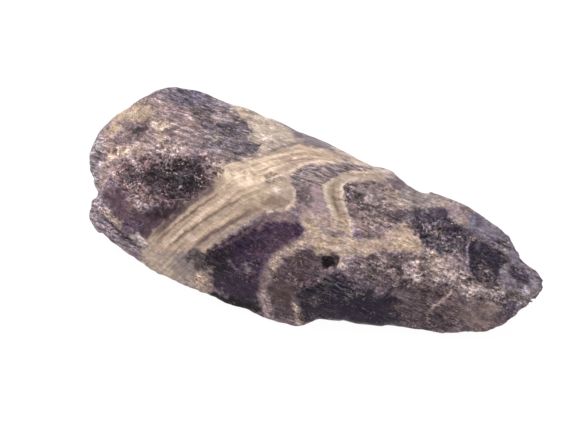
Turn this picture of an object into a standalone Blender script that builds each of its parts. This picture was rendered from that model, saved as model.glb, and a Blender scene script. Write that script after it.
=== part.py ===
"""A rough piece of banded (chevron) amethyst, one natural stone in one piece.

Metres, +Z up. The stone lies on the ground with its length along X and its pointed end at +X.

Its shape is drawn on a leaning plane that faces the banded side, as it is seen from
VIEW_DISTANCE. A place on that plane is (along, up), in millimetres from the plane's centre,
and depth is the height over the plane. The outline closes the shape all round, broken faces
close it in front and behind, and the scars, cracks, ledges and crystal grain are then worked
into its skin. A flat at the bottom is what the stone rests on.
"""

import math

import bmesh
import bpy
import numpy as np
from mathutils import Vector, noise

MM = 0.001

# How the leaning plane stands: turned from -Y towards +X, and tilted up from the horizon.
PLANE_TURN = math.radians(20)
PLANE_TILT = math.radians(40)
# The height of its centre over the ground, and where the eye is that sees the outline.
PLANE_HEIGHT = 14.6
VIEW_DISTANCE = 679.0

# The outline as seen, clockwise from the notch in the blunt end.
OUTLINE = [
    (-40.4, 5.4), (-41.8, 10.9), (-42.0, 13.0), (-40.2, 18.1), (-36.4, 22.5), (-31.7, 25.1),
    (-27.2, 27.1), (-23.4, 27.3), (-19.2, 26.5), (-13.5, 24.2), (-9.6, 23.4), (-5.0, 21.0),
    (2.4, 17.9), (10.7, 14.0), (17.5, 10.6), (23.0, 8.9), (25.5, 7.4), (28.3, 5.9), (34.2, 3.5),
    (40.7, 0.5), (45.0, -2.5), (48.6, -6.0), (50.3, -8.2), (52.2, -10.4), (53.9, -12.9),
    (54.6, -14.6), (54.0, -16.4), (51.3, -19.5), (49.4, -20.3), (47.2, -21.9), (44.8, -23.6),
    (42.4, -24.7), (37.4, -24.7), (33.2, -24.8), (28.9, -24.1), (21.5, -22.8), (12.0, -21.9),
    (6.3, -22.1), (4.1, -23.0), (2.2, -23.6), (-0.7, -23.0), (-8.2, -20.2), (-15.6, -17.2),
    (-25.1, -13.1), (-28.1, -12.1), (-32.1, -9.0), (-37.0, -5.8), (-40.6, -2.8), (-42.5, -0.1),
    (-41.9, 2.9), (-41.0, 4.3),
]
# How square the rim is between front and back: 2 is round, more is squarer.
RIM_SQUARENESS = 3.2
RIM_THICKNESS = 2.4

# Broken faces, each a plane: depth at the centre, then its slope along and its slope up.
FRONT_FACES = {
    "upper_left": (15.1, 0.045, -0.886),
    "upper_right": (12.5, -0.12, -0.53),
    "banded": (11.5, 0.42, 0.04),
    "blunt_end": (19.0, 0.62, -0.35),
    "lower_left": (18.9, 0.57, 0.50),
    "lower_right": (21.1, 0.065, 0.55),
    "point_upper": (25.4, -0.47, -0.83),
    "point_lower": (37.2, -0.34, 0.48),
}
BACK_FACES = {
    "back": (-30.0, 0.38, 0.84),
    "back_shoulder": (-56.0, 0.15, 1.70),
    "back_left": (-51.0, -0.80, -0.20),
    "back_middle": (-35.5, 0.95, 0.70),
    "back_right": (-47.6, 0.90, -0.07),
    "back_point": (-62.0, 0.95, -0.60),
    "under_left": (-23.3, -0.125, -1.19),
    "under_back": (-23.5, 0.20, -0.10),
    "under_right": (-28.7, 0.20, -1.19),
}
# Two faces meet in an edge rounded over about this much.
EDGE_ROUND = 0.8
# How much of the underside the flat it rests on takes away.
RESTING_CUT = 0.7

# Shell-shaped scars: along, up, radius of the scoop, its depth.
FRONT_SCARS = {
    "left_hollow": (-31.5, 8.0, 9.0, 1.5),
    "right_hollow": (-23.0, 7.0, 9.0, 1.5),
    "dark_lens": (41.2, -9.9, 6.5, 1.4),
    "upper_scoop": (31.0, -0.5, 16.0, 0.9),
    "glassy_front": (14.0, -17.0, 20.0, 0.8),
    "window": (-7.5, -9.0, 70.0, 0.5),
    "top_scoop": (-19.0, 17.5, 26.0, 0.6),
    "under_facet": (-23.0, -9.5, 26.0, 0.5),
    "brown_front": (36.0, -18.5, 12.0, 0.7),
}
BACK_SCARS = {
    "broad_shell": (-10.0, 8.0, 22.0, 2.2),
    "long_shell": (22.0, -2.0, 17.0, 1.8),
    "end_shell": (-33.0, 10.0, 12.0, 1.6),
    "small_shell": (5.0, 13.0, 7.0, 1.1),
    "point_shell": (42.0, -8.0, 10.0, 1.4),
    "low_shell": (-20.0, -2.0, 12.0, 1.3),
}

# Cracks: a line of places, the crack's width and its depth.
CRACKS = {
    "lump": (((-42.0, 1.0), (-38.5, -1.0), (-35.0, -4.6), (-30.6, -7.1)), 1.0, 1.1),
    "notch": (((-43.0, 5.0), (-40.0, 4.7), (-37.0, 2.5)), 1.1, 1.2),
    "chin": (((3.0, -23.5), (1.5, -19.5), (-1.5, -16.0)), 0.9, 0.7),
    "ridge_foot": (((9.5, -11.5), (17.0, -13.8), (26.0, -15.8), (36.0, -17.2)), 1.0, 0.5),
}
# Ledges: a line of places, how far the skin drops on its right, and how far the drop fades.
LEDGES = {
    "dome_edge": (((-37.5, 13.5), (-31.0, 13.0), (-24.0, 12.2), (-17.5, 9.3)), 0.45, 7.0),
    "shoulder": (((21.0, 8.0), (26.5, 4.0), (27.5, -1.0), (33.0, -6.0)), -0.7, 8.0),
    "point_first": (((46.5, -5.0), (47.5, -11.0), (46.0, -16.0), (47.5, -21.0)), -0.7, 4.0),
    "point_second": (((51.0, -9.5), (50.5, -14.0), (49.5, -18.5)), -0.4, 3.0),
    "grey_block": (((11.8, 7.0), (12.5, 2.0), (14.0, -3.5), (20.0, -4.5)), 0.6, 5.0),
}
# The square pit: along, up, half its side, its depth.
PIT = (8.7, -9.6, 1.45, 2.2)

# Crystal grain: cells of this size, each a flat with its own tilt and its own level.
GRAIN_SIZE = 2.6
GRAIN_TILT = 0.55
GRAIN_LEVEL = 0.35
# Where the front is grainy: along, up, half length, half width, turn in degrees, and strength.
GRAINY_PATCHES = {
    "crystal_hollow": (-27.0, 7.0, 11.0, 6.5, -8.0, 1.1),
    "blunt_edge": (-38.5, 9.0, 4.5, 9.0, 0.0, 0.8),
    "lower_lump": (-37.0, -2.5, 7.5, 4.0, -38.0, 0.9),
    "speckled_ridge": (26.5, -13.3, 19.0, 3.6, -10.0, 1.2),
    "grey_block": (20.0, 1.0, 8.0, 6.0, -20.0, 0.7),
    "dark_shoulder": (34.5, -3.5, 9.0, 6.0, -30.0, 0.8),
    "point": (49.5, -15.0, 6.5, 7.5, 0.0, 1.2),
}
# Where the front is smooth, drawn the same way: the last number is how much of the swells goes.
SMOOTH_PATCHES = {
    "banded_face": (-10.0, -1.0, 24.0, 12.5, -8.0, 0.75),
    "dome": (-20.0, 19.0, 17.0, 7.5, -20.0, 0.5),
    "glassy_front": (15.0, -18.5, 16.0, 5.0, 0.0, 0.6),
}
# The back is broken into blocks, with grain in scattered patches of about this size.
BLOCK_SIZE = 10.0
BLOCK_STRENGTH = 1.5
BACK_GRAIN = 0.7
BACK_GRAIN_PATCH = 11.0

# Waves in the skin: size and height, coarse to fine.
SWELLS = ((16.0, 0.7), (6.5, 0.35), (3.0, 0.14))
# Hackly steps that run across the back and the pointed end: their spacing and height, the share
# of each that is its drop, how they slant and wander, and how far along the front they begin.
STEP_SPACING = 5.5
STEP_HEIGHT = 0.5
STEP_DROP = 0.18
STEP_SLANT = 0.35
STEP_WANDER = 1.3
STEPS_FROM = 12.0
# Nothing stands out of the skin at the ground, and everything does from this height up.
FULL_RELIEF_FROM = 2.5

# How much of an oval patch is its soft edge.
PATCH_EDGE = 0.4
# Sets each cell's tilt and level, and takes a second noise from another place than the first.
CELL_KEY = 57.0
ELSEWHERE = Vector((7.0, 3.0, 1.0))

# The even skin that the relief is worked into, and what is left of it at the end.
SKIN_SIZE = 0.7
TRIANGLES = 9600
# A point this low belongs to the flat that the stone rests on.
FLAT_WITHIN = 0.1
STONE_COLOUR = (0.165, 0.115, 0.150, 1.0)
STONE_ROUGHNESS = 0.38


def plane_axes():
    """The leaning plane's along, up and out directions."""
    turn, tilt = PLANE_TURN, PLANE_TILT
    along = Vector((math.cos(turn), math.sin(turn), 0.0))
    out = Vector((math.sin(turn) * math.cos(tilt), -math.cos(turn) * math.cos(tilt), math.sin(tilt)))
    return along, out.cross(along), out


def outline_radius(angles):
    """Distance from the plane's centre to the outline at each angle."""
    points = np.array(OUTLINE)
    around = np.arctan2(points[:, 1], points[:, 0])
    order = np.argsort(around)
    return np.interp(angles, around[order], np.hypot(*points[order].T), period=math.tau)


def soft_least(depths):
    """The least of several depths, with the meeting edges rounded."""
    depths = np.array(depths)
    lowest = depths.min(axis=0)
    return lowest - EDGE_ROUND * np.log(np.exp((lowest - depths) / EDGE_ROUND).sum(axis=0))


def depth_of(faces, along, up, sign):
    """Depth of the skin that these faces make: the nearest of them, in front or behind."""
    return sign * soft_least([sign * (d + a * along + u * up) for d, a, u in faces.values()])


def underside():
    """A level back face, a little lower than the flat that is cut into it."""
    depth = -(PLANE_HEIGHT + RESTING_CUT) / math.sin(PLANE_TILT)
    return (depth, 0.0, -1.0 / math.tan(PLANE_TILT))


def sides():
    """The front and the back: their faces, their scars, and which way they look."""
    back = {**BACK_FACES, "underside": underside()}
    return (FRONT_FACES, FRONT_SCARS, 1), (back, BACK_SCARS, -1)


def lay_out(directions):
    """Moves points of a ball to the stone's skin: (along, up, depth)."""
    x, y, z = directions.T
    level = np.hypot(x, y)
    corner = (level**RIM_SQUARENESS + np.abs(z) ** RIM_SQUARENESS) ** (1 / RIM_SQUARENESS)
    reach = outline_radius(np.arctan2(y, x)) / corner
    along, up = reach * x, reach * y
    front, back = [depth_of(faces, along, up, sign) for faces, _, sign in sides()]
    front = np.maximum(front, back + RIM_THICKNESS)
    middle, half = (front + back) / 2, (front - back) / 2
    return np.stack([along, up, middle + half * z / corner], axis=1)


def cut_scars(points):
    """Pushes the skin out of each scar's ball, which leaves a shallow shell with a crisp rim."""
    for faces, scars, sign in sides():
        for along, up, radius, deep in scars.values():
            skin = depth_of(faces, along + np.array([0, 1, 0]), up + np.array([0, 0, 1]), sign)
            facing = sign * np.array([skin[0] - skin[1], skin[0] - skin[2], 1.0])
            facing /= np.linalg.norm(facing)
            centre = np.array([along, up, skin[0]]) + facing * (radius - deep)
            away = points - centre
            far = np.linalg.norm(away, axis=1)
            inside = far < radius
            points[inside] = centre + away[inside] * (radius / far[inside])[:, None]
    return points


def from_line(places, line):
    """Distance of each place from a line of points, and its side: +1 on the left of it."""
    best = np.full(len(places), np.inf)
    side = np.ones(len(places))
    for start, end in zip(np.array(line[:-1]), np.array(line[1:])):
        run = end - start
        rel = places - start
        share = np.clip(rel @ run / (run @ run), 0, 1)
        gap = np.linalg.norm(rel - share[:, None] * run, axis=1)
        closer = gap < best
        best[closer] = gap[closer]
        turn = run[0] * rel[:, 1] - run[1] * rel[:, 0]
        side[closer] = np.sign(turn[closer])
    return best, side


def drawn_relief(places):
    """The cracks, the ledges and the square pit, which are drawn on the front."""
    height = np.zeros(len(places))
    for line, width, deep in CRACKS.values():
        gap, _ = from_line(places, line)
        height -= deep * np.clip(1 - gap / width, 0, 1)
    for line, drop, fade in LEDGES.values():
        gap, side = from_line(places, line)
        lowered = side * np.sign(drop) < 0
        height -= np.where(lowered, abs(drop) * np.clip(1 - gap / fade, 0, 1), 0)
    along, up, half, deep = PIT
    inside = np.maximum(abs(places[:, 0] - along), abs(places[:, 1] - up)) < half
    return height - np.where(inside, deep, 0)


def patch_weight(patch, places):
    """1 in the middle of an oval patch, falling to 0 at its edge."""
    along, up, half_length, half_width, turn, strength = patch
    c, s = math.cos(math.radians(turn)), math.sin(math.radians(turn))
    x, y = places[:, 0] - along, places[:, 1] - up
    inward = 1 - np.hypot((x * c + y * s) / half_length, (y * c - x * s) / half_width)
    return strength * np.clip(inward / PATCH_EDGE, 0, 1)


def grain(place, size):
    """Height of broken crystal faces: each cell of the grain is a flat with its own tilt."""
    _, centres = noise.voronoi(place / size)
    key = centres[0] * CELL_KEY
    tilt = noise.cell_vector(key) * 2.0 - Vector((1.0, 1.0, 1.0))
    return GRAIN_TILT * tilt.dot(place / size - centres[0]) + GRAIN_LEVEL * (noise.cell(key) - 0.5)


def steps(place):
    """Height of hackly steps: slow rises that end in short drops."""
    run = (place.x + STEP_SLANT * place.y) / STEP_SPACING + STEP_WANDER * noise.noise(place / 9.0)
    rise = run - math.floor(run)
    level = rise / (1 - STEP_DROP) if rise < 1 - STEP_DROP else (1 - rise) / STEP_DROP
    return STEP_HEIGHT * level * max(0.0, noise.noise(place / 14.0 + ELSEWHERE) + 0.25)


def strongest(patches, points):
    """The strongest of several patches at each point."""
    return np.max([patch_weight(patch, points[:, :2]) for patch in patches.values()], axis=0)


def relief(points, facings):
    """How far the skin stands out at each point: drawn forms, swells, steps, grain and blocks."""
    front = facings[:, 2] > 0
    grainy = np.where(front, strongest(GRAINY_PATCHES, points), 0)
    rough = np.where(front, 1 - strongest(SMOOTH_PATCHES, points), 1)
    stepped = np.where(front & (points[:, 0] < STEPS_FROM), 0, 1)
    heights = np.where(front, drawn_relief(points[:, :2]), 0)
    for i, place in enumerate(Vector(p) for p in points):
        heights[i] += rough[i] * sum(high * noise.noise(place / size) for size, high in SWELLS)
        heights[i] += stepped[i] * steps(place)
        if front[i]:
            heights[i] += grainy[i] * grain(place, GRAIN_SIZE)
        else:
            share = min(1.0, max(0.0, 4.0 * noise.noise(place / BACK_GRAIN_PATCH) - 0.3))
            heights[i] += BLOCK_STRENGTH * grain(place, BLOCK_SIZE)
            heights[i] += BACK_GRAIN * share * grain(place, GRAIN_SIZE)
    return heights * np.clip(stand(points)[:, 2] / FULL_RELIEF_FROM, 0, 1)


def ball_directions():
    """A fine ball's vertices as unit directions, with its faces."""
    bm = bmesh.new()
    bmesh.ops.create_icosphere(bm, subdivisions=7, radius=1.0)
    directions = np.array([v.co.normalized() for v in bm.verts])
    faces = [[v.index for v in f.verts] for f in bm.faces]
    bm.free()
    return directions, faces


def applied(obj):
    """The object's mesh with its modifiers worked in."""
    graph = bpy.context.evaluated_depsgraph_get()
    mesh = bpy.data.meshes.new_from_object(obj.evaluated_get(graph))
    obj.modifiers.clear()
    obj.data = mesh
    return mesh


def read_points(mesh):
    flat = np.empty(len(mesh.vertices) * 3, np.float32)
    mesh.vertices.foreach_get("co", flat)
    return flat.reshape(-1, 3).astype(float)


def write_points(mesh, points):
    mesh.vertices.foreach_set("co", points.astype(np.float32).ravel())
    mesh.update()


def stand(points):
    """Turns (along, up, depth) as seen into millimetres over the ground."""
    true = points.copy()
    true[:, :2] *= 1 - points[:, 2:] / VIEW_DISTANCE
    return true @ np.array(plane_axes()) + np.array([0.0, 0.0, PLANE_HEIGHT])


def cut_flat(mesh):
    """Cuts the stone level with the ground and closes the cut with the flat it rests on."""
    bm = bmesh.new()
    bm.from_mesh(mesh)
    everything = bm.verts[:] + bm.edges[:] + bm.faces[:]
    bmesh.ops.bisect_plane(bm, geom=everything, plane_co=(0, 0, 0), plane_no=(0, 0, 1), clear_inner=True)
    bmesh.ops.holes_fill(bm, edges=[e for e in bm.edges if e.is_boundary])
    bmesh.ops.triangulate(bm, faces=[f for f in bm.faces if len(f.verts) > 4])
    bm.to_mesh(mesh)
    bm.free()


def set_down(mesh):
    """Makes the flat exactly level, centres the stone over the origin, and turns it into metres."""
    points = read_points(mesh)
    points[:, 2] = np.where(points[:, 2] < FLAT_WITHIN, 0.0, points[:, 2])
    middle = (points.min(axis=0) + points.max(axis=0)) / 2
    points[:, :2] -= middle[:2]
    write_points(mesh, points * MM)


def amethyst_material():
    material = bpy.data.materials.new("banded amethyst")
    material.use_nodes = True
    surface = material.node_tree.nodes["Principled BSDF"]
    surface.inputs["Base Color"].default_value = STONE_COLOUR
    surface.inputs["Roughness"].default_value = STONE_ROUGHNESS
    surface.inputs["Metallic"].default_value = 0.0
    return material


def amethyst():
    """The stone: laid out, given an even skin, worked, cut flat, thinned to few faces, and set down."""
    directions, faces = ball_directions()
    mesh = bpy.data.meshes.new("amethyst")
    mesh.from_pydata(cut_scars(lay_out(directions)).tolist(), [], faces)
    stone = bpy.data.objects.new("amethyst", mesh)
    bpy.context.scene.collection.objects.link(stone)

    even = stone.modifiers.new("even skin", "REMESH")
    even.mode = "VOXEL"
    even.voxel_size = SKIN_SIZE
    mesh = applied(stone)
    facings = np.array([v.normal[:] for v in mesh.vertices])
    points = read_points(mesh)
    write_points(mesh, stand(points + facings * relief(points, facings)[:, None]))
    cut_flat(mesh)

    mesh.calc_loop_triangles()
    thin = stone.modifiers.new("fewer faces", "DECIMATE")
    thin.ratio = TRIANGLES / len(mesh.loop_triangles)
    thin.use_collapse_triangulate = True
    mesh = applied(stone)
    set_down(mesh)
    mesh.materials.clear()
    mesh.materials.append(amethyst_material())
    return stone


def main():
    for old in list(bpy.data.objects):
        bpy.data.objects.remove(old)
    amethyst()


main()
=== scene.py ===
"""The looks of a rough piece of banded (chevron) amethyst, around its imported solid.

Metres, +Z up. The stone is drawn as it is seen from the front: a place is (along, up) in
millimetres on the plane that leans back behind it, and depth is the height over that plane.
"""

import math

import bmesh
import bpy
import numpy as np
from mathutils import Matrix, Vector, noise
from mathutils.bvhtree import BVHTree


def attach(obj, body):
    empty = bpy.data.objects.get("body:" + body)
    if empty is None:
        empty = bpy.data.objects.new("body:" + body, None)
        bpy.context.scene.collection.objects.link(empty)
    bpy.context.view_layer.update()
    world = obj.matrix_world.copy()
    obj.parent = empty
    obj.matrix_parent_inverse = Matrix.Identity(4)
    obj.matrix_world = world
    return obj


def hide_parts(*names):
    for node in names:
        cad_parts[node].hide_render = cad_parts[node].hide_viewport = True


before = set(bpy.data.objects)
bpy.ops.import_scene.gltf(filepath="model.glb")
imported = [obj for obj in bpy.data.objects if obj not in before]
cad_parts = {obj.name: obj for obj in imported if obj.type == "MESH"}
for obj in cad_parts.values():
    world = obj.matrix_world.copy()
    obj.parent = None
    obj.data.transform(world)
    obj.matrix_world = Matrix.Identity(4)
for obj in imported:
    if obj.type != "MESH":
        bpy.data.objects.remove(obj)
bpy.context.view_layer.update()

# The broken stone.
# One lump of massive quartz, banded in white and violet as it grew in a vein and then broken
# out with a hammer. Nothing is fixed to it: its fine skin takes the place of the plain solid.
MM = 0.001
# The leaning plane's turn, tilt and middle, and how far before it the eye is, in mm.
PLANE_TURN = math.radians(20)
PLANE_TILT = math.radians(40)
PLANE_CENTRE = Vector((-4.224, -1.881, 14.6))
VIEW_DISTANCE = 679.0

# How fine the skin's mesh is made, in mm, and how many triangles it is then thinned to.
SKIN_VOXEL = 0.27
SKIN_TRIANGLES = 192000
# Corners of the solid that meet lie closer than this, in metres.
MERGE_WITHIN = 1e-6


def plane_axes():
    """The leaning plane's along, up and out directions."""
    along = Vector((math.cos(PLANE_TURN), math.sin(PLANE_TURN), 0.0))
    level = math.cos(PLANE_TILT)
    out = Vector((
        math.sin(PLANE_TURN) * level, -math.cos(PLANE_TURN) * level, math.sin(PLANE_TILT)))
    return along, out.cross(along), out


def as_seen(points):
    """Turns millimetres in the stone's own frame into (along, up, depth) as the eye sees them."""
    seen = (points - np.array(PLANE_CENTRE)) @ np.array(plane_axes()).T
    seen[:, :2] /= 1 - seen[:, 2:] / VIEW_DISTANCE
    return seen


def read_rows(items, name):
    """The items' vectors of this name, as rows of three numbers."""
    flat = np.empty(len(items) * 3, np.float32)
    items.foreach_get(name, flat)
    return flat.reshape(-1, 3).astype(float)


def applied(obj):
    """Works the object's modifiers into its mesh."""
    graph = bpy.context.evaluated_depsgraph_get()
    mesh = bpy.data.meshes.new_from_object(obj.evaluated_get(graph))
    obj.modifiers.clear()
    obj.data = mesh


def fine_copy(solid):
    """A copy of the solid with an even skin of small faces."""
    bm = bmesh.new()
    bm.from_mesh(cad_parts[solid].data)
    bmesh.ops.remove_doubles(bm, verts=bm.verts, dist=MERGE_WITHIN)
    mesh = bpy.data.meshes.new("broken_stone")
    bm.to_mesh(mesh)
    bm.free()
    obj = bpy.data.objects.new("broken_stone", mesh)
    bpy.context.scene.collection.objects.link(obj)
    even = obj.modifiers.new("even skin", "REMESH")
    even.mode = "VOXEL"
    even.voxel_size = SKIN_VOXEL * MM
    applied(obj)
    return obj


# What each kind of break is like: roughness, share of bright flakes, hackle of the skin,
# and share of fine strokes drawn out along the break.
FINISHES = {
    "glassy": (0.20, 0.16, 0.10, 0.25),
    "silky": (0.42, 0.12, 0.10, 0.15),
    "waxy": (0.48, 0.10, 0.10, 0.15),
    "scratched": (0.42, 0.18, 0.18, 0.70),
    "dull": (0.50, 0.45, 0.40, 0.50),
    "striated": (0.42, 0.35, 0.35, 1.00),
    "hackly": (0.42, 0.75, 0.80, 0.60),
    "crusty": (0.42, 1.00, 1.00, 0.35),
}

# Colour zones from the bottom coat up, a few of them painted shade: colour, finish, softness of the
# edge in mm, outline.
STONE_BASE = ("#82737a", "dull")
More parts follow.
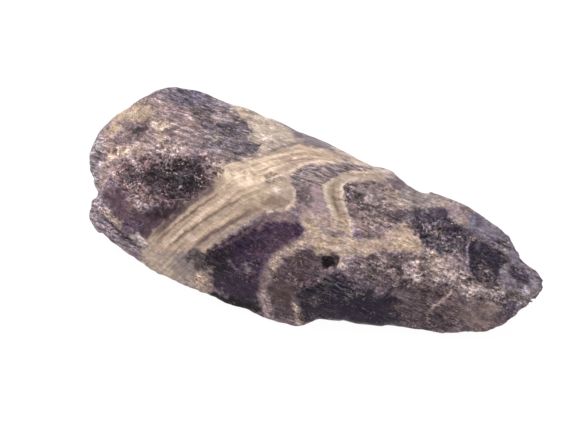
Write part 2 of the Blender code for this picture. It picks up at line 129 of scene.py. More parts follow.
# All of the quartz leans a little to rose.
ROSE = np.array([1.0, 0.94, 0.98])
ZONES = {
    "dome": ("#80706c", "dull", 0.8, [
        (-31.9, 23.8), (-29.3, 25.5), (-23.8, 25.3), (-22.6, 23), (-18.8, 21.1), (-18.1, 16.8),
        (-20.9, 14.1), (-29.3, 14.1), (-35.7, 14.1), (-38.7, 16.2), (-38.2, 20)]),
    "dome tan": ("#b1a18b", "waxy", 0.8, [
        (-38.2, 20), (-35.7, 22.6), (-32.5, 24.1), (-29.3, 23.2), (-28.5, 21.1), (-31, 20.4),
        (-35.3, 20.4), (-35.7, 18.1), (-37.8, 16.8), (-39.1, 17.9)]),
    "crest": ("#746c71", "striated", 0.6, [
        (-29.3, 25.1), (-27.7, 26.6), (-23.4, 27.2), (-19.2, 27), (-16.2, 25.7), (-12.8, 24.5),
        (-10.7, 23.4), (-12.2, 22.1), (-15.8, 22.8), (-18.8, 23.6), (-20.9, 23.2), (-23, 23),
        (-24.7, 24.7), (-26.8, 24.9)]),
    "crest purple": ("#535060", "striated", 0.7, [
        (-24.7, 24.9), (-23.4, 26), (-19.2, 26.6), (-17.1, 25.3), (-19.4, 24.1), (-21.9, 23.6),
        (-23.8, 23.6)]),
    "dome mauve": ("#8d7b7a", "scratched", 0.8, [
        (-30.2, 24.5), (-27.2, 24.9), (-24.7, 24.3), (-22.6, 22.8), (-19.6, 21.1), (-18.8, 19.2),
        (-23, 20.7), (-27.7, 21.9)]),
    "dark spot": ("#736363", "dull", 0.5, [
        (-35.5, 19.8), (-33.6, 20.4), (-29.8, 20.2), (-28.9, 18.8), (-30, 17.3), (-33, 17.3),
        (-34.4, 18.1)]),
    "dark spot core": ("#3a2f31", "silky", 0.4, [
        (-33.4, 19), (-30.4, 19.2), (-29.6, 17.9), (-31.9, 17.3), (-33.6, 17.7)]),
    "beige spot": ("#cab9a3", "dull", 0.5, [
        (-28.9, 20), (-26, 20.2), (-25.1, 18.8), (-27.2, 18.1), (-28.9, 18.8)]),
    "beige fleck": ("#bfac93", "dull", 0.4, [
        (-28.1, 17.1), (-26.4, 17.1), (-26.4, 15.8), (-28.1, 16)]),
    "left crust": ("#a08f88", "scratched", 0.9, [
        (-40.6, 14.9), (-37.4, 16.4), (-33.6, 14.7), (-29.3, 14.5), (-23.8, 14.7), (-21.3, 13.7),
        (-25.1, 12.6), (-29.3, 12.6), (-34, 11.8), (-37, 9.4), (-38.7, 5.2), (-40.4, 6.5),
        (-41, 12)]),
    "left purple": ("#80706f", "scratched", 0.8, [
        (-38.2, 17.1), (-35.3, 17.5), (-33.6, 16), (-35.7, 14.7), (-37.8, 15.4)]),
    "left tan": ("#ddc9b3", "crusty", 0.6, [
        (-39.1, 14.5), (-35.3, 14.7), (-31.5, 14.1), (-34.4, 13.2), (-38.2, 12.8)]),
    "left edge": ("#938c8e", "striated", 0.5, [
        (-41.9, 14.1), (-40.4, 17.1), (-39.1, 16.6), (-39.7, 13.7), (-39.5, 10.9), (-40.4, 8.2),
        (-40.2, 5.2), (-41, 4.3), (-42.1, 9.9)]),
    "left fold": ("#6f666a", "striated", 0.5, [
        (-41.6, 12.8), (-40.4, 14.1), (-39.7, 12), (-40.6, 10.3), (-41.6, 11.1)]),
    "slate": ("#5a5152", "striated", 0.6, [
        (-22.6, 23), (-18.8, 23.6), (-15.8, 23), (-12, 22.4), (-10.1, 20.7), (-8.4, 18.8),
        (-7.1, 16.2), (-5.4, 13.7), (-6.5, 12.4), (-10.3, 12), (-14.1, 11.8), (-17.5, 13.7),
        (-18.8, 14.5), (-17.9, 17.3), (-18.8, 20.9)]),
    "slate dark": ("#585055", "striated", 0.7, [
        (-18.5, 20.4), (-15.4, 20.2), (-11.5, 19.2), (-8.6, 18.1), (-6.9, 15.2), (-6.9, 13.2),
        (-11.1, 14.3), (-15.4, 15.6), (-17.9, 17.5)]),
    "slate foot": ("#716564", "striated", 0.5, [
        (-18.3, 13.9), (-14.1, 13.2), (-6.5, 13.5), (-5.6, 12.6), (-10.3, 11.8), (-14.1, 11.5),
        (-16.6, 12.2)]),
    "slate light": ("#978d8f", "silky", 0.6, [
        (-16.6, 22.1), (-13.2, 22.6), (-11.1, 21.1), (-13, 19.8), (-16.2, 20.4)]),
    "slate tan": ("#988f87", "dull", 0.5, [
        (-17.5, 17.7), (-15.2, 17.9), (-14.7, 16.6), (-16.8, 16)]),
    "cream top": ("#bbaf9e", "silky", 0.6, [
        (-13.2, 24.1), (-9.2, 23.6), (-5.2, 22.1), (-1, 20.2), (1.6, 18.3), (3.7, 16.4),
        (7.7, 14.7), (12.4, 12.8), (8.8, 12.4), (4.6, 14.3), (0.3, 14.3), (-4.3, 13), (-5.8, 14.3),
        (-7.5, 16.8), (-8.6, 19), (-11.5, 22.4)]),
    "cream top light": ("#bdb19f", "silky", 0.6, [
        (-11.1, 23), (-7.7, 22.4), (-5.6, 20.4), (-4.8, 17.5), (-6.5, 17.1), (-8.2, 19.2),
        (-9.9, 21.5)]),
    "cream top brown": ("#c3b5a4", "dull", 0.7, [
        (-7.7, 16.6), (-4.8, 17.5), (-1.8, 16.6), (0.7, 14.9), (-3.9, 13.5), (-5.6, 14.3)]),
    "rim grey": ("#827a7b", "silky", 0.6, [
        (-1.8, 20.2), (2, 18.8), (6.3, 17.1), (10.1, 15.2), (13.5, 13), (13, 11.3), (10.9, 11.8),
        (7.1, 13.7), (3.3, 16), (0.3, 17.7)]),
    "rim cream": ("#d2bfab", "silky", 0.5, [
        (9.6, 14.9), (13, 13.7), (16.4, 12), (20.2, 10.3), (21.9, 9.4), (20.2, 8.4), (16.4, 9.6),
        (13.5, 10.9), (11.8, 12.4)]),
    "hollow": ("#7b6465", "crusty", 0.8, [
        (-36.1, 11.5), (-33.6, 12.4), (-29.3, 12.6), (-23, 13), (-17.7, 13), (-14.1, 11.8),
        (-15.4, 9.6), (-14.1, 8.6), (-15.8, 6.9), (-18.8, 4.6), (-21.9, 3.3), (-26.2, 2.6),
        (-29.8, 2), (-33.6, 2.2), (-36.1, 3.9), (-36.8, 7.7)]),
    # The two darkest zones of the hollow are dark violet quartz with painted shade under the
    # hollow's upper lip.
    "hollow shade": ("#3d2b32", "hackly", 0.7, [
        (-35.3, 9.4), (-32.3, 10.3), (-29.3, 10.9), (-27.2, 12), (-24.1, 12.2), (-18.8, 12.2),
        (-17.5, 10.9), (-17.9, 8.6), (-16.2, 7.9), (-18.1, 6), (-20.9, 4.3), (-24.7, 3.3),
        (-29.3, 4.3), (-30.4, 6.9), (-33.6, 6.9), (-35.3, 7.7)]),
    "hollow deep shade": ("#2a1a20", "hackly", 0.6, [
        (-29.3, 10.7), (-26.2, 10.7), (-21.7, 12), (-18.1, 11.5), (-17.7, 8.6), (-19.6, 6),
        (-23.4, 5.6), (-26.2, 6.7), (-29.3, 8.2)]),
    "hollow blue": ("#211a22", "glassy", 0.4, [
        (-23.8, 7.7), (-19.6, 8.4), (-19.4, 6.5), (-23.4, 6.3)]),
    # Purple quartz between the hollow and the bands, darkened with painted shade, darkest in its
    # middle.
    "shaded purple below hollow": ("#5a4850", "silky", 0.7, [
        (-38.9, 5.2), (-36.1, 5.6), (-33.6, 2.2), (-29.8, 1.8), (-25.1, 2.6), (-21.7, 3.5),
        (-18.3, 5.6), (-15.8, 7.3), (-13.7, 8.2), (-17.1, 4.8), (-21.7, 1), (-26.4, -2.4),
        (-29.8, -5.4), (-33.6, -4.3), (-36.1, -1.4), (-38.2, 1.8)]),
    "deep shade below hollow": ("#2e2227", "silky", 0.8, [
        (-31, 1), (-29.3, 1.8), (-26, 2.2), (-22.6, 3.1), (-19.6, 4.8), (-21.7, 2.6), (-25.1, 0.5),
        (-28.9, -1.2), (-30.8, -0.3)]),
    "below violet": ("#5c4c5d", "hackly", 0.6, [
        (-35.5, -1.2), (-32.7, -0.1), (-30.8, -1.4), (-31.3, -3.1), (-34, -3.3)]),
    "lump": ("#80787a", "striated", 0.6, [
        (-42.3, 3.5), (-40.8, 4.6), (-39.1, 3.5), (-38.2, 1.8), (-37.2, -0.3), (-34.9, -3.3),
        (-32.3, -4.3), (-29.6, -5.6), (-29.8, -7.9), (-33.6, -7.1), (-37.4, -5), (-40.4, -2.4),
        (-42.1, -0.3)]),
    "lump tan": ("#a49483", "hackly", 0.5, [
        (-40.4, 1.8), (-38.2, 1.8), (-36.3, -0.1), (-35.3, -2.2), (-36.8, -1.8), (-38.7, 0.1)]),
    "lump dark": ("#72656c", "striated", 0.5, [
        (-39.5, -0.5), (-37.4, -1.6), (-34.4, -3.9), (-32.3, -5.6), (-34, -6), (-37.4, -3.7)]),
    "lump pale": ("#c6bab4", "dull", 0.5, [
        (-32.7, -4.1), (-30, -5.2), (-30.4, -7.1), (-32.3, -6)]),
    "bands": ("#bda994", "silky", 0.5, [
        (-30, -6.9), (-30.2, -5), (-26.6, -1.8), (-21.5, 2.9), (-17.5, 5.8), (-14.9, 7.7),
        (-16, 9.4), (-14.1, 11.3), (-11.1, 12), (-6.9, 13), (-1.8, 14.1), (2.4, 14.9), (7.1, 14.3),
        (12.4, 12.4), (12.2, 10.9), (7.1, 11.3), (3.7, 10.7), (1.6, 9.6), (-0.5, 8.2), (1.2, 6.3),
        (1.6, 3.5), (0.5, 1.6), (-3.7, 1), (-6.9, 0.7), (-10.3, -2.4), (-17.3, -7.5), (-20.9, -7.3),
        (-26.2, -7.3)]),
    "bright corner": ("#dcc8ac", "silky", 0.8, [
        (-14.5, 10.7), (-11.1, 11.5), (-6.9, 12.4), (-2.6, 12), (-1.4, 10.3), (-5.2, 7.7),
        (-8.2, 6.7), (-12.8, 6.9), (-15.8, 6), (-14.7, 8.6)]),
    "beige": ("#c5b196", "waxy", 0.8, [
        (-11.8, 6.3), (-7.3, 6.9), (-1, 6.3), (-1, 2.6), (-5.2, 2), (-9.9, 3.5), (-13.2, 4.3)]),
    "corner brown": ("#b9a690", "waxy", 0.7, [
        (-13.2, 2.6), (-10.1, 3.3), (-5.6, 2), (-1.4, 2.4), (-3.5, 1), (-6.9, -0.1), (-10.3, -2),
        (-12.4, -1.2), (-12.8, 1)]),
    "tooth": ("#b9a995", "silky", 0.5, [
        (-3.9, 6), (-0.1, 6.5), (1.6, 5.6), (1.4, 3.5), (-1, 2.9), (-3.5, 3.5)]),
    "tooth shade": ("#917e70", "silky", 0.5, [
        (-5.6, 3.7), (-2.9, 4.3), (0.1, 3.7), (0.5, 2.2), (-2.6, 1.8), (-5.2, 2.4)]),
    "brown fleck": ("#96826f", "waxy", 0.4, [
        (-9.6, 1.2), (-7.1, 1.8), (-5.6, 1), (-7.9, -0.1), (-9.4, 0.1)]),
    "corner crystals": ("#ae9884", "hackly", 0.4, [
        (-15.8, 10.1), (-14.3, 10.7), (-13.5, 9.9), (-14.1, 8.8), (-15.4, 8.6)]),
    "scallop": ("#908270", "dull", 0.4, [
        (-5.6, 8.6), (-3.3, 9.4), (-0.7, 8.4), (-1.2, 6.9), (-4.8, 6.9)]),
    "lens of scratches": ("#837774", "striated", 0.5, [
        (0.1, 8.6), (2.2, 9.9), (7.1, 10.9), (12, 10.7), (13.5, 9.6), (10.5, 9), (7.1, 7.1),
        (3.5, 6.7), (0.7, 6.9)]),
    "grey above second": ("#7b706f", "striated", 0.5, [
        (7.9, 11.3), (12, 11.8), (15.6, 10.9), (19.8, 9.9), (20.2, 9), (13.5, 9.2), (10.5, 9.9)]),
    "mauve column": ("#ab9696", "silky", 0.6, [
        (1.6, 6.9), (6.3, 7.1), (7.5, 4.6), (8.6, 1.4), (9.6, -2.4), (6.3, -2), (2.4, 1),
        (1.6, 3.5)]),
    "column dark": ("#685b5c", "dull", 0.6, [
        (1.4, 7.3), (5, 7.1), (5.4, 4.6), (4.6, 2.6), (1.8, 2.9)]),
    "column foot": ("#b1a095", "silky", 0.7, [
        (2, 0.7), (7.7, 0.5), (9.6, -2.4), (8.4, -4.1), (5, -3.7), (2.9, -1.6)]),
    "second bands": ("#bdac97", "silky", 0.4, [
        (20, 9.6), (16.8, 9.6), (13, 9.4), (10.5, 8.6), (7.9, 7.3), (7.1, 6.3), (7.9, 4.1),
        (8.8, 1.6), (9.4, -0.1), (9.9, -3.3), (13.5, -4.6), (13.7, -2), (13, 0.5), (12, 2.2),
        (11.5, 5.2), (12.4, 6.7), (14.7, 7.7), (17.7, 7.5), (20.7, 7.3)]),
    "arm end": ("#cebfb7", "silky", 0.7, [
        (19.4, 9.6), (22.4, 9.2), (24.1, 7.5), (21.9, 7.1), (19.8, 7.5)]),
    "grey block": ("#8e7d78", "hackly", 0.5, [
        (11.5, 5.8), (13.5, 7.1), (17.7, 7.5), (21.1, 7.1), (23.6, 5.6), (26.2, 5.6), (27, 1.8),
        (29.1, 0.3), (27.9, -2.6), (26.2, -3.1), (22.8, -2.2), (19.4, -3.5), (16.2, -3.5),
        (13.5, -2.2), (12.8, 1), (11.8, 2.9)]),
    "block dark": ("#56494b", "hackly", 0.4, [
        (11.5, 5.8), (13.2, 6.5), (16, 3.9), (17.7, 2.6), (19.8, 1.6), (24.1, 1), (23.2, -0.5),
        (19, -0.1), (15.2, 1.2), (13, 2.9), (11.8, 3.7)]),
    "block lens": ("#8a817e", "dull", 0.3, [
        (13.5, 6.3), (16.8, 6), (19.4, 5), (20.2, 3.5), (17.7, 4.1), (14.7, 5)]),
    "block flake": ("#b3a2a0", "dull", 0.3, [
        (15.8, 4.1), (17.7, 4.3), (19.2, 3.1), (18.5, 2.2), (16.4, 2.9)]),
    "block tan": ("#9d8d80", "dull", 0.5, [
        (20, 6), (23, 5.6), (23.6, 3.5), (25.3, 2.6), (25.1, 1.4), (21.5, 2), (20.4, 3.5)]),
    "block right": ("#6b5e61", "hackly", 0.6, [
        (24.3, 2), (27, 2.2), (28.7, 0.5), (27.4, -2), (24.7, -1.2), (22.4, -1.6), (21.5, 0.1)]),
    "block mauve": ("#9a8984", "hackly", 0.6, [
        (13.5, 1.2), (17.7, 0.3), (19, -2), (16.4, -2.6), (13.9, -1.6)]),
    "upper edge": ("#8f857f", "dull", 0.7, [
        (22.8, 6.9), (26.2, 6.3), (29.6, 5.6), (33.6, 4.3), (36.8, 2.6), (39.3, 1.2), (38.9, -2),
        (35.5, -2.6), (33.4, 0.1), (30.4, 1.8), (26.8, 1.8), (24.5, 2.9), (23.2, 5.2)]),
    "edge mauve": ("#776a6e", "silky", 0.5, [
        (20.2, 8.8), (23.2, 8.6), (25.7, 6.3), (22.8, 6), (20.7, 6.9)]),
    "edge tan": ("#aba198", "waxy", 0.6, [
        (28.7, 5.2), (32.1, 4.8), (34.6, 3.1), (33, 1.8), (29.6, 2.6)]),
    "edge pink": ("#a19290", "silky", 0.7, [
        (33.8, 2.9), (37.6, 1.8), (38.9, -0.7), (36.3, -1.8), (34.2, 0.1)]),
    "deep purple": ("#473f4b", "hackly", 0.7, [
        (26.6, 1.6), (30.4, 2.2), (33.6, 0.5), (35.7, -2), (38.5, -3.1), (38.9, -6.3), (37.6, -8.8),
        (33.4, -9.2), (30, -7.9), (28.5, -6), (27.2, -3.3), (26.2, -1.2)]),
    "deep core": ("#4b424f", "crusty", 0.8, [
        (27.9, 0.5), (32.1, -0.3), (34.6, -2.4), (37.6, -3.7), (37.2, -7.1), (33.4, -7.5),
        (30, -6.3), (28.3, -3.3)]),
    "deep lilac": ("#4b4150", "silky", 0.6, [
        (30, 1.6), (32.7, 1.4), (34.2, -0.3), (32.1, -1), (30, 0.1)]),
    "mauve edge": ("#827d89", "silky", 0.6, [
        (38.5, 1.4), (42.7, -0.7), (46.1, -3.7), (48.6, -7.1), (49.7, -10.1), (47.4, -9.9),
        (44.8, -7.3), (42.7, -5.6), (39.3, -4.6), (38, -2)]),
    "mauve shade": ("#574e5a", "striated", 0.4, [
        (41.9, -3.9), (44.8, -4.6), (47.4, -6.5), (46.5, -7.1), (43.5, -5.8)]),
    "purple throat": ("#3b323d", "dull", 0.7, [
        (38, -4.6), (42.7, -5.6), (45.2, -7.5), (47.8, -10.1), (47.4, -13), (44.4, -13.9),
        (38.9, -13.5), (37.2, -9.6)]),
    "lens": ("#332e3b", "glassy", 0.3, [
        (38.5, -6.3), (41, -5.6), (44, -6.5), (45.9, -8.8), (44.8, -11.8), (43.1, -13.7),
        (40.6, -13.9), (38.9, -12.4), (38, -9.6)]),
    "tip": ("#857e84", "dull", 0.6, [
        (44.4, -11.3), (46.9, -9.4), (49.9, -9.6), (52.7, -11.8), (54.4, -14.1), (53.9, -16.2),
        (51.6, -18.5), (48.6, -19.2), (47.1, -17.3), (45.7, -15.6), (44.4, -13.9)]),
    "tip dark": ("#4f4853", "dull", 0.6, [
        (46.5, -10.5), (49.5, -10.5), (51.6, -12.6), (50.8, -14.9), (47.8, -13.9)]),
    "tip pale": ("#cbc5c8", "hackly", 0.5, [
        (48.6, -15.8), (51.2, -15.6), (52, -17.7), (50.3, -18.8), (48.6, -18.1)]),
    "window": ("#35273a", "glassy", 0.4, [
        (-17.5, -7.5), (-15.8, -6), (-12.8, -4.6), (-9.9, -2.9), (-7.7, -2), (-5.6, -0.7),
        (-3.7, 0.7), (-1.2, 1.2), (1.4, 0.5), (2.6, -1.2), (3.3, -3.1), (2.4, -5), (0.3, -6.3),
        (-2, -7.5), (-4.3, -9.6), (-5.8, -11.8), (-6.7, -14.1), (-6.5, -17.9), (-8.2, -18.3),
        (-11.3, -17.1), (-14.1, -15.8), (-16.2, -14.3), (-16.8, -11.3), (-17.9, -9.2)]),
    "window green": ("#251d27", "glassy", 0.8, [
        (-17.1, -7.7), (-13.5, -5.8), (-11.8, -7.1), (-12.2, -10.9), (-14.1, -13), (-16.6, -12.2),
        (-17.5, -9.6)]),
    "window purple": ("#4d3b4c", "glassy", 0.9, [
        (-7.3, -5.4), (-3.9, -2.9), (-0.5, -1.8), (2, -3.1), (1.8, -5), (-1.4, -6.5), (-4.3, -9),
        (-6.5, -11.3), (-7.3, -8.8)]),
    "window lilac": ("#8c7978", "silky", 0.6, [
        (-4.3, 0.5), (-0.7, 1.4), (1.8, 0.3), (2.6, -1.6), (-0.5, -1), (-4.3, -1.8), (-6.7, -2.4)]),
    "window hem": ("#554459", "silky", 0.8, [
        (-6.9, -13), (-5.2, -9.9), (-3.3, -8.2), (-2.2, -8.8), (-4.3, -12.2), (-5.6, -15.6),
        (-5.2, -18.5), (-6.9, -19)]),
    "under window": ("#160f18", "glassy", 0.6, [
        (-18.8, -15.6), (-14.1, -16), (-10.3, -17.3), (-6.5, -18.1), (-4.8, -21.1), (-9.9, -20.2),
        (-14.5, -18.1)]),
    "under facet": ("#a29589", "waxy", 0.6, [
        (-31.9, -7.1), (-28.3, -7.1), (-20.9, -7.5), (-17.5, -7.7), (-17.7, -9.6), (-16.6, -12.4),
        (-16.2, -14.3), (-17.3, -16.4), (-21.3, -15.2), (-26.6, -13), (-31, -10.5)]),
    "facet beige": ("#bbab97", "waxy", 0.8, [
        (-31.5, -7.3), (-27.2, -7.1), (-24.9, -9.6), (-25.5, -13), (-29.8, -11.1)]),
    "facet grey": ("#938682", "waxy", 0.9, [
        (-24.7, -7.7), (-19.8, -7.5), (-17.7, -9.6), (-18.5, -12), (-21.7, -12.8), (-24.1, -10.9)]),
    "facet dark": ("#4f4545", "glassy", 0.9, [
        (-20.9, -7.9), (-17.5, -7.7), (-17.1, -10.9), (-18.3, -11.8), (-20.2, -9.9)]),
    "facet spot": ("#b09a86", "crusty", 0.4, [
        (-20, -12.4), (-17.7, -12.4), (-16.4, -13.7), (-17.1, -15.4), (-19.6, -14.3)]),
    "arch": ("#524649", "dull", 0.5, [
        (-2.6, -8.8), (0.3, -7.5), (3.5, -7.1), (7.1, -7.7), (6.9, -11.3), (7.1, -12), (5.2, -14.5),
        (3.1, -15.8), (2.2, -17.7), (2.9, -22.4), (0.3, -23), (-2.6, -21.9), (-4.6, -18.5),
        (-5, -15.2), (-4.1, -11.5)]),
    "arch dark": ("#4f4044", "dull", 0.6, [
        (-1.2, -9.6), (1.8, -7.9), (5.2, -8.2), (6, -10.9), (3.7, -13.9), (1.6, -15.6),
        (-0.1, -17.7), (-1.8, -17.7), (-2.6, -15.6), (-2, -12.4)]),
    "arch brown": ("#594a4c", "silky", 0.6, [
        (-3.7, -14.7), (-1.6, -13.7), (0.5, -14.7), (1.6, -17.7), (0.5, -20.2), (-2.6, -20),
        (-4.1, -17.5)]),
    "arch rim": ("#cab6a8", "crusty", 0.4, [
        (1, -17.3), (2.4, -19.4), (3.3, -22.6), (1.6, -22.4), (0.5, -19.4)]),
    "chin": ("#66575a", "dull", 0.5, [
        (-3.1, -20.9), (0.7, -21.3), (2.6, -22.8), (-0.5, -23.4), (-2.6, -22.4)]),
    "cream patch": ("#bfad98", "silky", 0.5, [
        (4.1, -3.1), (7.7, -3.7), (13, -4.6), (17.3, -4.3), (20.2, -3.7), (22.6, -2.4),
        (25.7, -2.6), (28.1, -5), (28.9, -6.7), (27.9, -7.5), (23.6, -7.5), (20.7, -7.3),
        (17.7, -8.2), (13, -8.6), (8.8, -8.2), (6.3, -8.2), (4.1, -6.7), (2.9, -5)]),
    "yellow tip": ("#b09d83", "dull", 0.5, [
        (22.4, -5.2), (26.6, -5), (28.9, -6.5), (25.7, -7.3), (22.8, -6.9)]),
    "yellow spot": ("#b2a084", "dull", 0.4, [(3.1, -1.6), (5.6, -1.4), (6.5, -2.9), (4.1, -3.3)]),
    "mottled": ("#716264", "crusty", 0.8, [
        (13, -8.8), (17.7, -8.4), (21.9, -7.9), (26.2, -8.4), (26.2, -10.9), (24.5, -13.9),
        (21.9, -16), (17.7, -14.7), (13.5, -12.2), (11.8, -10.1)]),
    "ridge": ("#8a7c79", "crusty", 0.8, [
        (23.6, -9.6), (26.6, -8.2), (30.4, -7.5), (34.2, -8.8), (38.5, -12.2), (41, -14.3),
        (44.8, -14.7), (49.1, -16), (48.2, -17.5), (42.7, -17.3), (36.8, -17.1), (32.5, -16),
        (27.9, -16.4), (23.6, -15.6)]),
    "ridge cream": ("#c4b5a9", "crusty", 0.7, [
        (29.6, -7.1), (33.4, -8.8), (34.2, -11.8), (32.5, -14.3), (30.4, -12.2)]),
    "ridge pink": ("#f6e8e0", "crusty", 0.6, [
        (25.3, -10.5), (28.1, -10.1), (29.3, -13.2), (27.2, -14.7), (25.5, -13)]),
    "ridge bright": ("#bdb1ae", "crusty", 0.6, [
        (34.6, -10.9), (37.2, -13), (39.7, -15.2), (44.8, -15.2), (47.8, -16.8), (41, -17.3),
        (36.8, -16.2), (34.2, -13.5)]),
    "ridge hole one": ("#3f3338", "hackly", 0.4, [
        (22.4, -10.9), (24.1, -10.7), (24.5, -12.6), (23, -13)]),
    "ridge hole two": ("#3d3136", "hackly", 0.4, [
        (23.2, -14.1), (25.7, -13.7), (28.9, -14.1), (28.7, -15.4), (24.1, -15.6)]),
    "ridge hole three": ("#3b3034", "hackly", 0.4, [
        (32.7, -13.9), (34.6, -13.7), (35.3, -14.9), (33.4, -15.2)]),
    "ridge dark": ("#5a4c4d", "hackly", 0.5, [
        (26.2, -14.7), (28.7, -13.5), (32.1, -14.7), (34.6, -14.3), (35.9, -16), (32.1, -16.2),
        (27.9, -16.2)]),
    "dark front": ("#2e2430", "glassy", 0.6, [
        (2.2, -16.2), (5, -14.7), (7.1, -12.4), (9.9, -11.8), (13, -13.5), (17.7, -15.6),
        (22.6, -16.8), (25.1, -18.3), (24.5, -21.5), (24.1, -24.1), (17.3, -23.6), (10.9, -22.4),
        (4.6, -22.1), (3.1, -22.8), (2, -18.8)]),
    "front streaks": ("#140d1a", "striated", 1.3, [
        (3.1, -15.6), (5.8, -13.9), (8.4, -12.6), (11.3, -13.5), (15.2, -15.2), (18.5, -16.2),
        (16.4, -17.7), (10.9, -17.3), (6.3, -17.7)]),
    "front blue": ("#21162b", "glassy", 1.3, [
        (8.8, -16.8), (17.3, -16.8), (23.6, -18.5), (23.6, -21.9), (10.9, -21.1), (6.7, -19)]),
    "brown front": ("#594a4b", "dull", 1.8, [
        (24.1, -17.5), (27.9, -16.2), (33.2, -16.2), (38.5, -17.3), (44.8, -17.3), (49.5, -19),
        (48.2, -21.1), (45.2, -23.2), (42.3, -24.5), (36.3, -24.7), (31, -24.9), (25.7, -24.3),
        (23.6, -23.8)]),
    "brown dark": ("#463a40", "dull", 1.5, [
        (24.5, -21.5), (28.7, -21.9), (34.2, -21.3), (35.1, -24.5), (30, -24.9), (24.5, -24.1)]),
    "brown pale": ("#847671", "waxy", 0.8, [
        (35.3, -17.9), (40.6, -18.3), (45.9, -19.8), (44.6, -23.4), (38.9, -23.6), (35.3, -21.1)]),
    "brown violet": ("#574f60", "hackly", 0.6, [
        (44.8, -17.7), (48.2, -17.9), (49.1, -19.4), (46.5, -21.5), (44.6, -20.7)]),
    "pit": ("#423839", "dull", 0.15, [
        (6.9, -8.4), (10.5, -8.2), (11.1, -8.8), (9, -10.5), (8.4, -11.3), (7.3, -11.3)]),
    "pit rim": ("#bbaea8", "crusty", 0.3, [(9.2, -10.9), (12, -8.6), (13.2, -9.6), (11.3, -11.3)]),
    "below pit": ("#6f5e65", "crusty", 0.5, [
        (2.4, -14.3), (5.4, -12.2), (8.8, -12), (7.1, -13.5), (4.6, -15.2)]),
}


def linear(hex_colour):
    """An sRGB hex colour as linear red, green and blue."""
    parts = [int(hex_colour[i:i + 2], 16) / 255 for i in (1, 3, 5)]
    return [c / 12.92 if c <= 0.04045 else ((c + 0.055) / 1.055) ** 2.4 for c in parts]


def segment_gap(places, start, end):
    """Distance of each place from a straight stretch."""
    run = end - start
    rel = places - start
    share = np.clip(rel @ run / (run @ run), 0, 1)
    return np.linalg.norm(rel - share[:, None] * run, axis=1)


def line_gap(places, line):
    """Distance of each place from an open line."""
    return np.min([segment_gap(places, a, b) for a, b in zip(line[:-1], line[1:])], axis=0)


# Stands for the rise of a level side, which no level line crosses, so as not to divide by 0.
NO_RISE = 1e-9


def inside_by(places, outline):
    """How far inside a closed outline each place is; outside it is negative."""
    gap = np.full(len(places), np.inf)
    inside = np.zeros(len(places), bool)
    for start, end in zip(outline, np.roll(outline, -1, axis=0)):
        gap = np.minimum(gap, segment_gap(places, start, end))
        crosses = (start[1] > places[:, 1]) != (end[1] > places[:, 1])
        rise = end[1] - start[1] if end[1] != start[1] else NO_RISE
        crossing = start[0] + (places[:, 1] - start[1]) / rise * (end[0] - start[0])
        inside ^= crosses & (places[:, 0] < crossing)
    return np.where(inside, gap, -gap)


# Sets where the noise lies that frays the zones' edges.
WANDER_SEED = 4
noise.seed_set(WANDER_SEED)


def noise_vectors(points, size):
    """A smooth random vector at each point, with its size in mm."""
    return np.array([noise.noise_vector(p) for p in (Vector(q) for q in points / size)])


def noises(points, size):
    """A smooth random number at each point, with one size in mm or one for each axis."""
    return np.array([noise.noise(p) for p in (Vector(q) for q in points / size)])
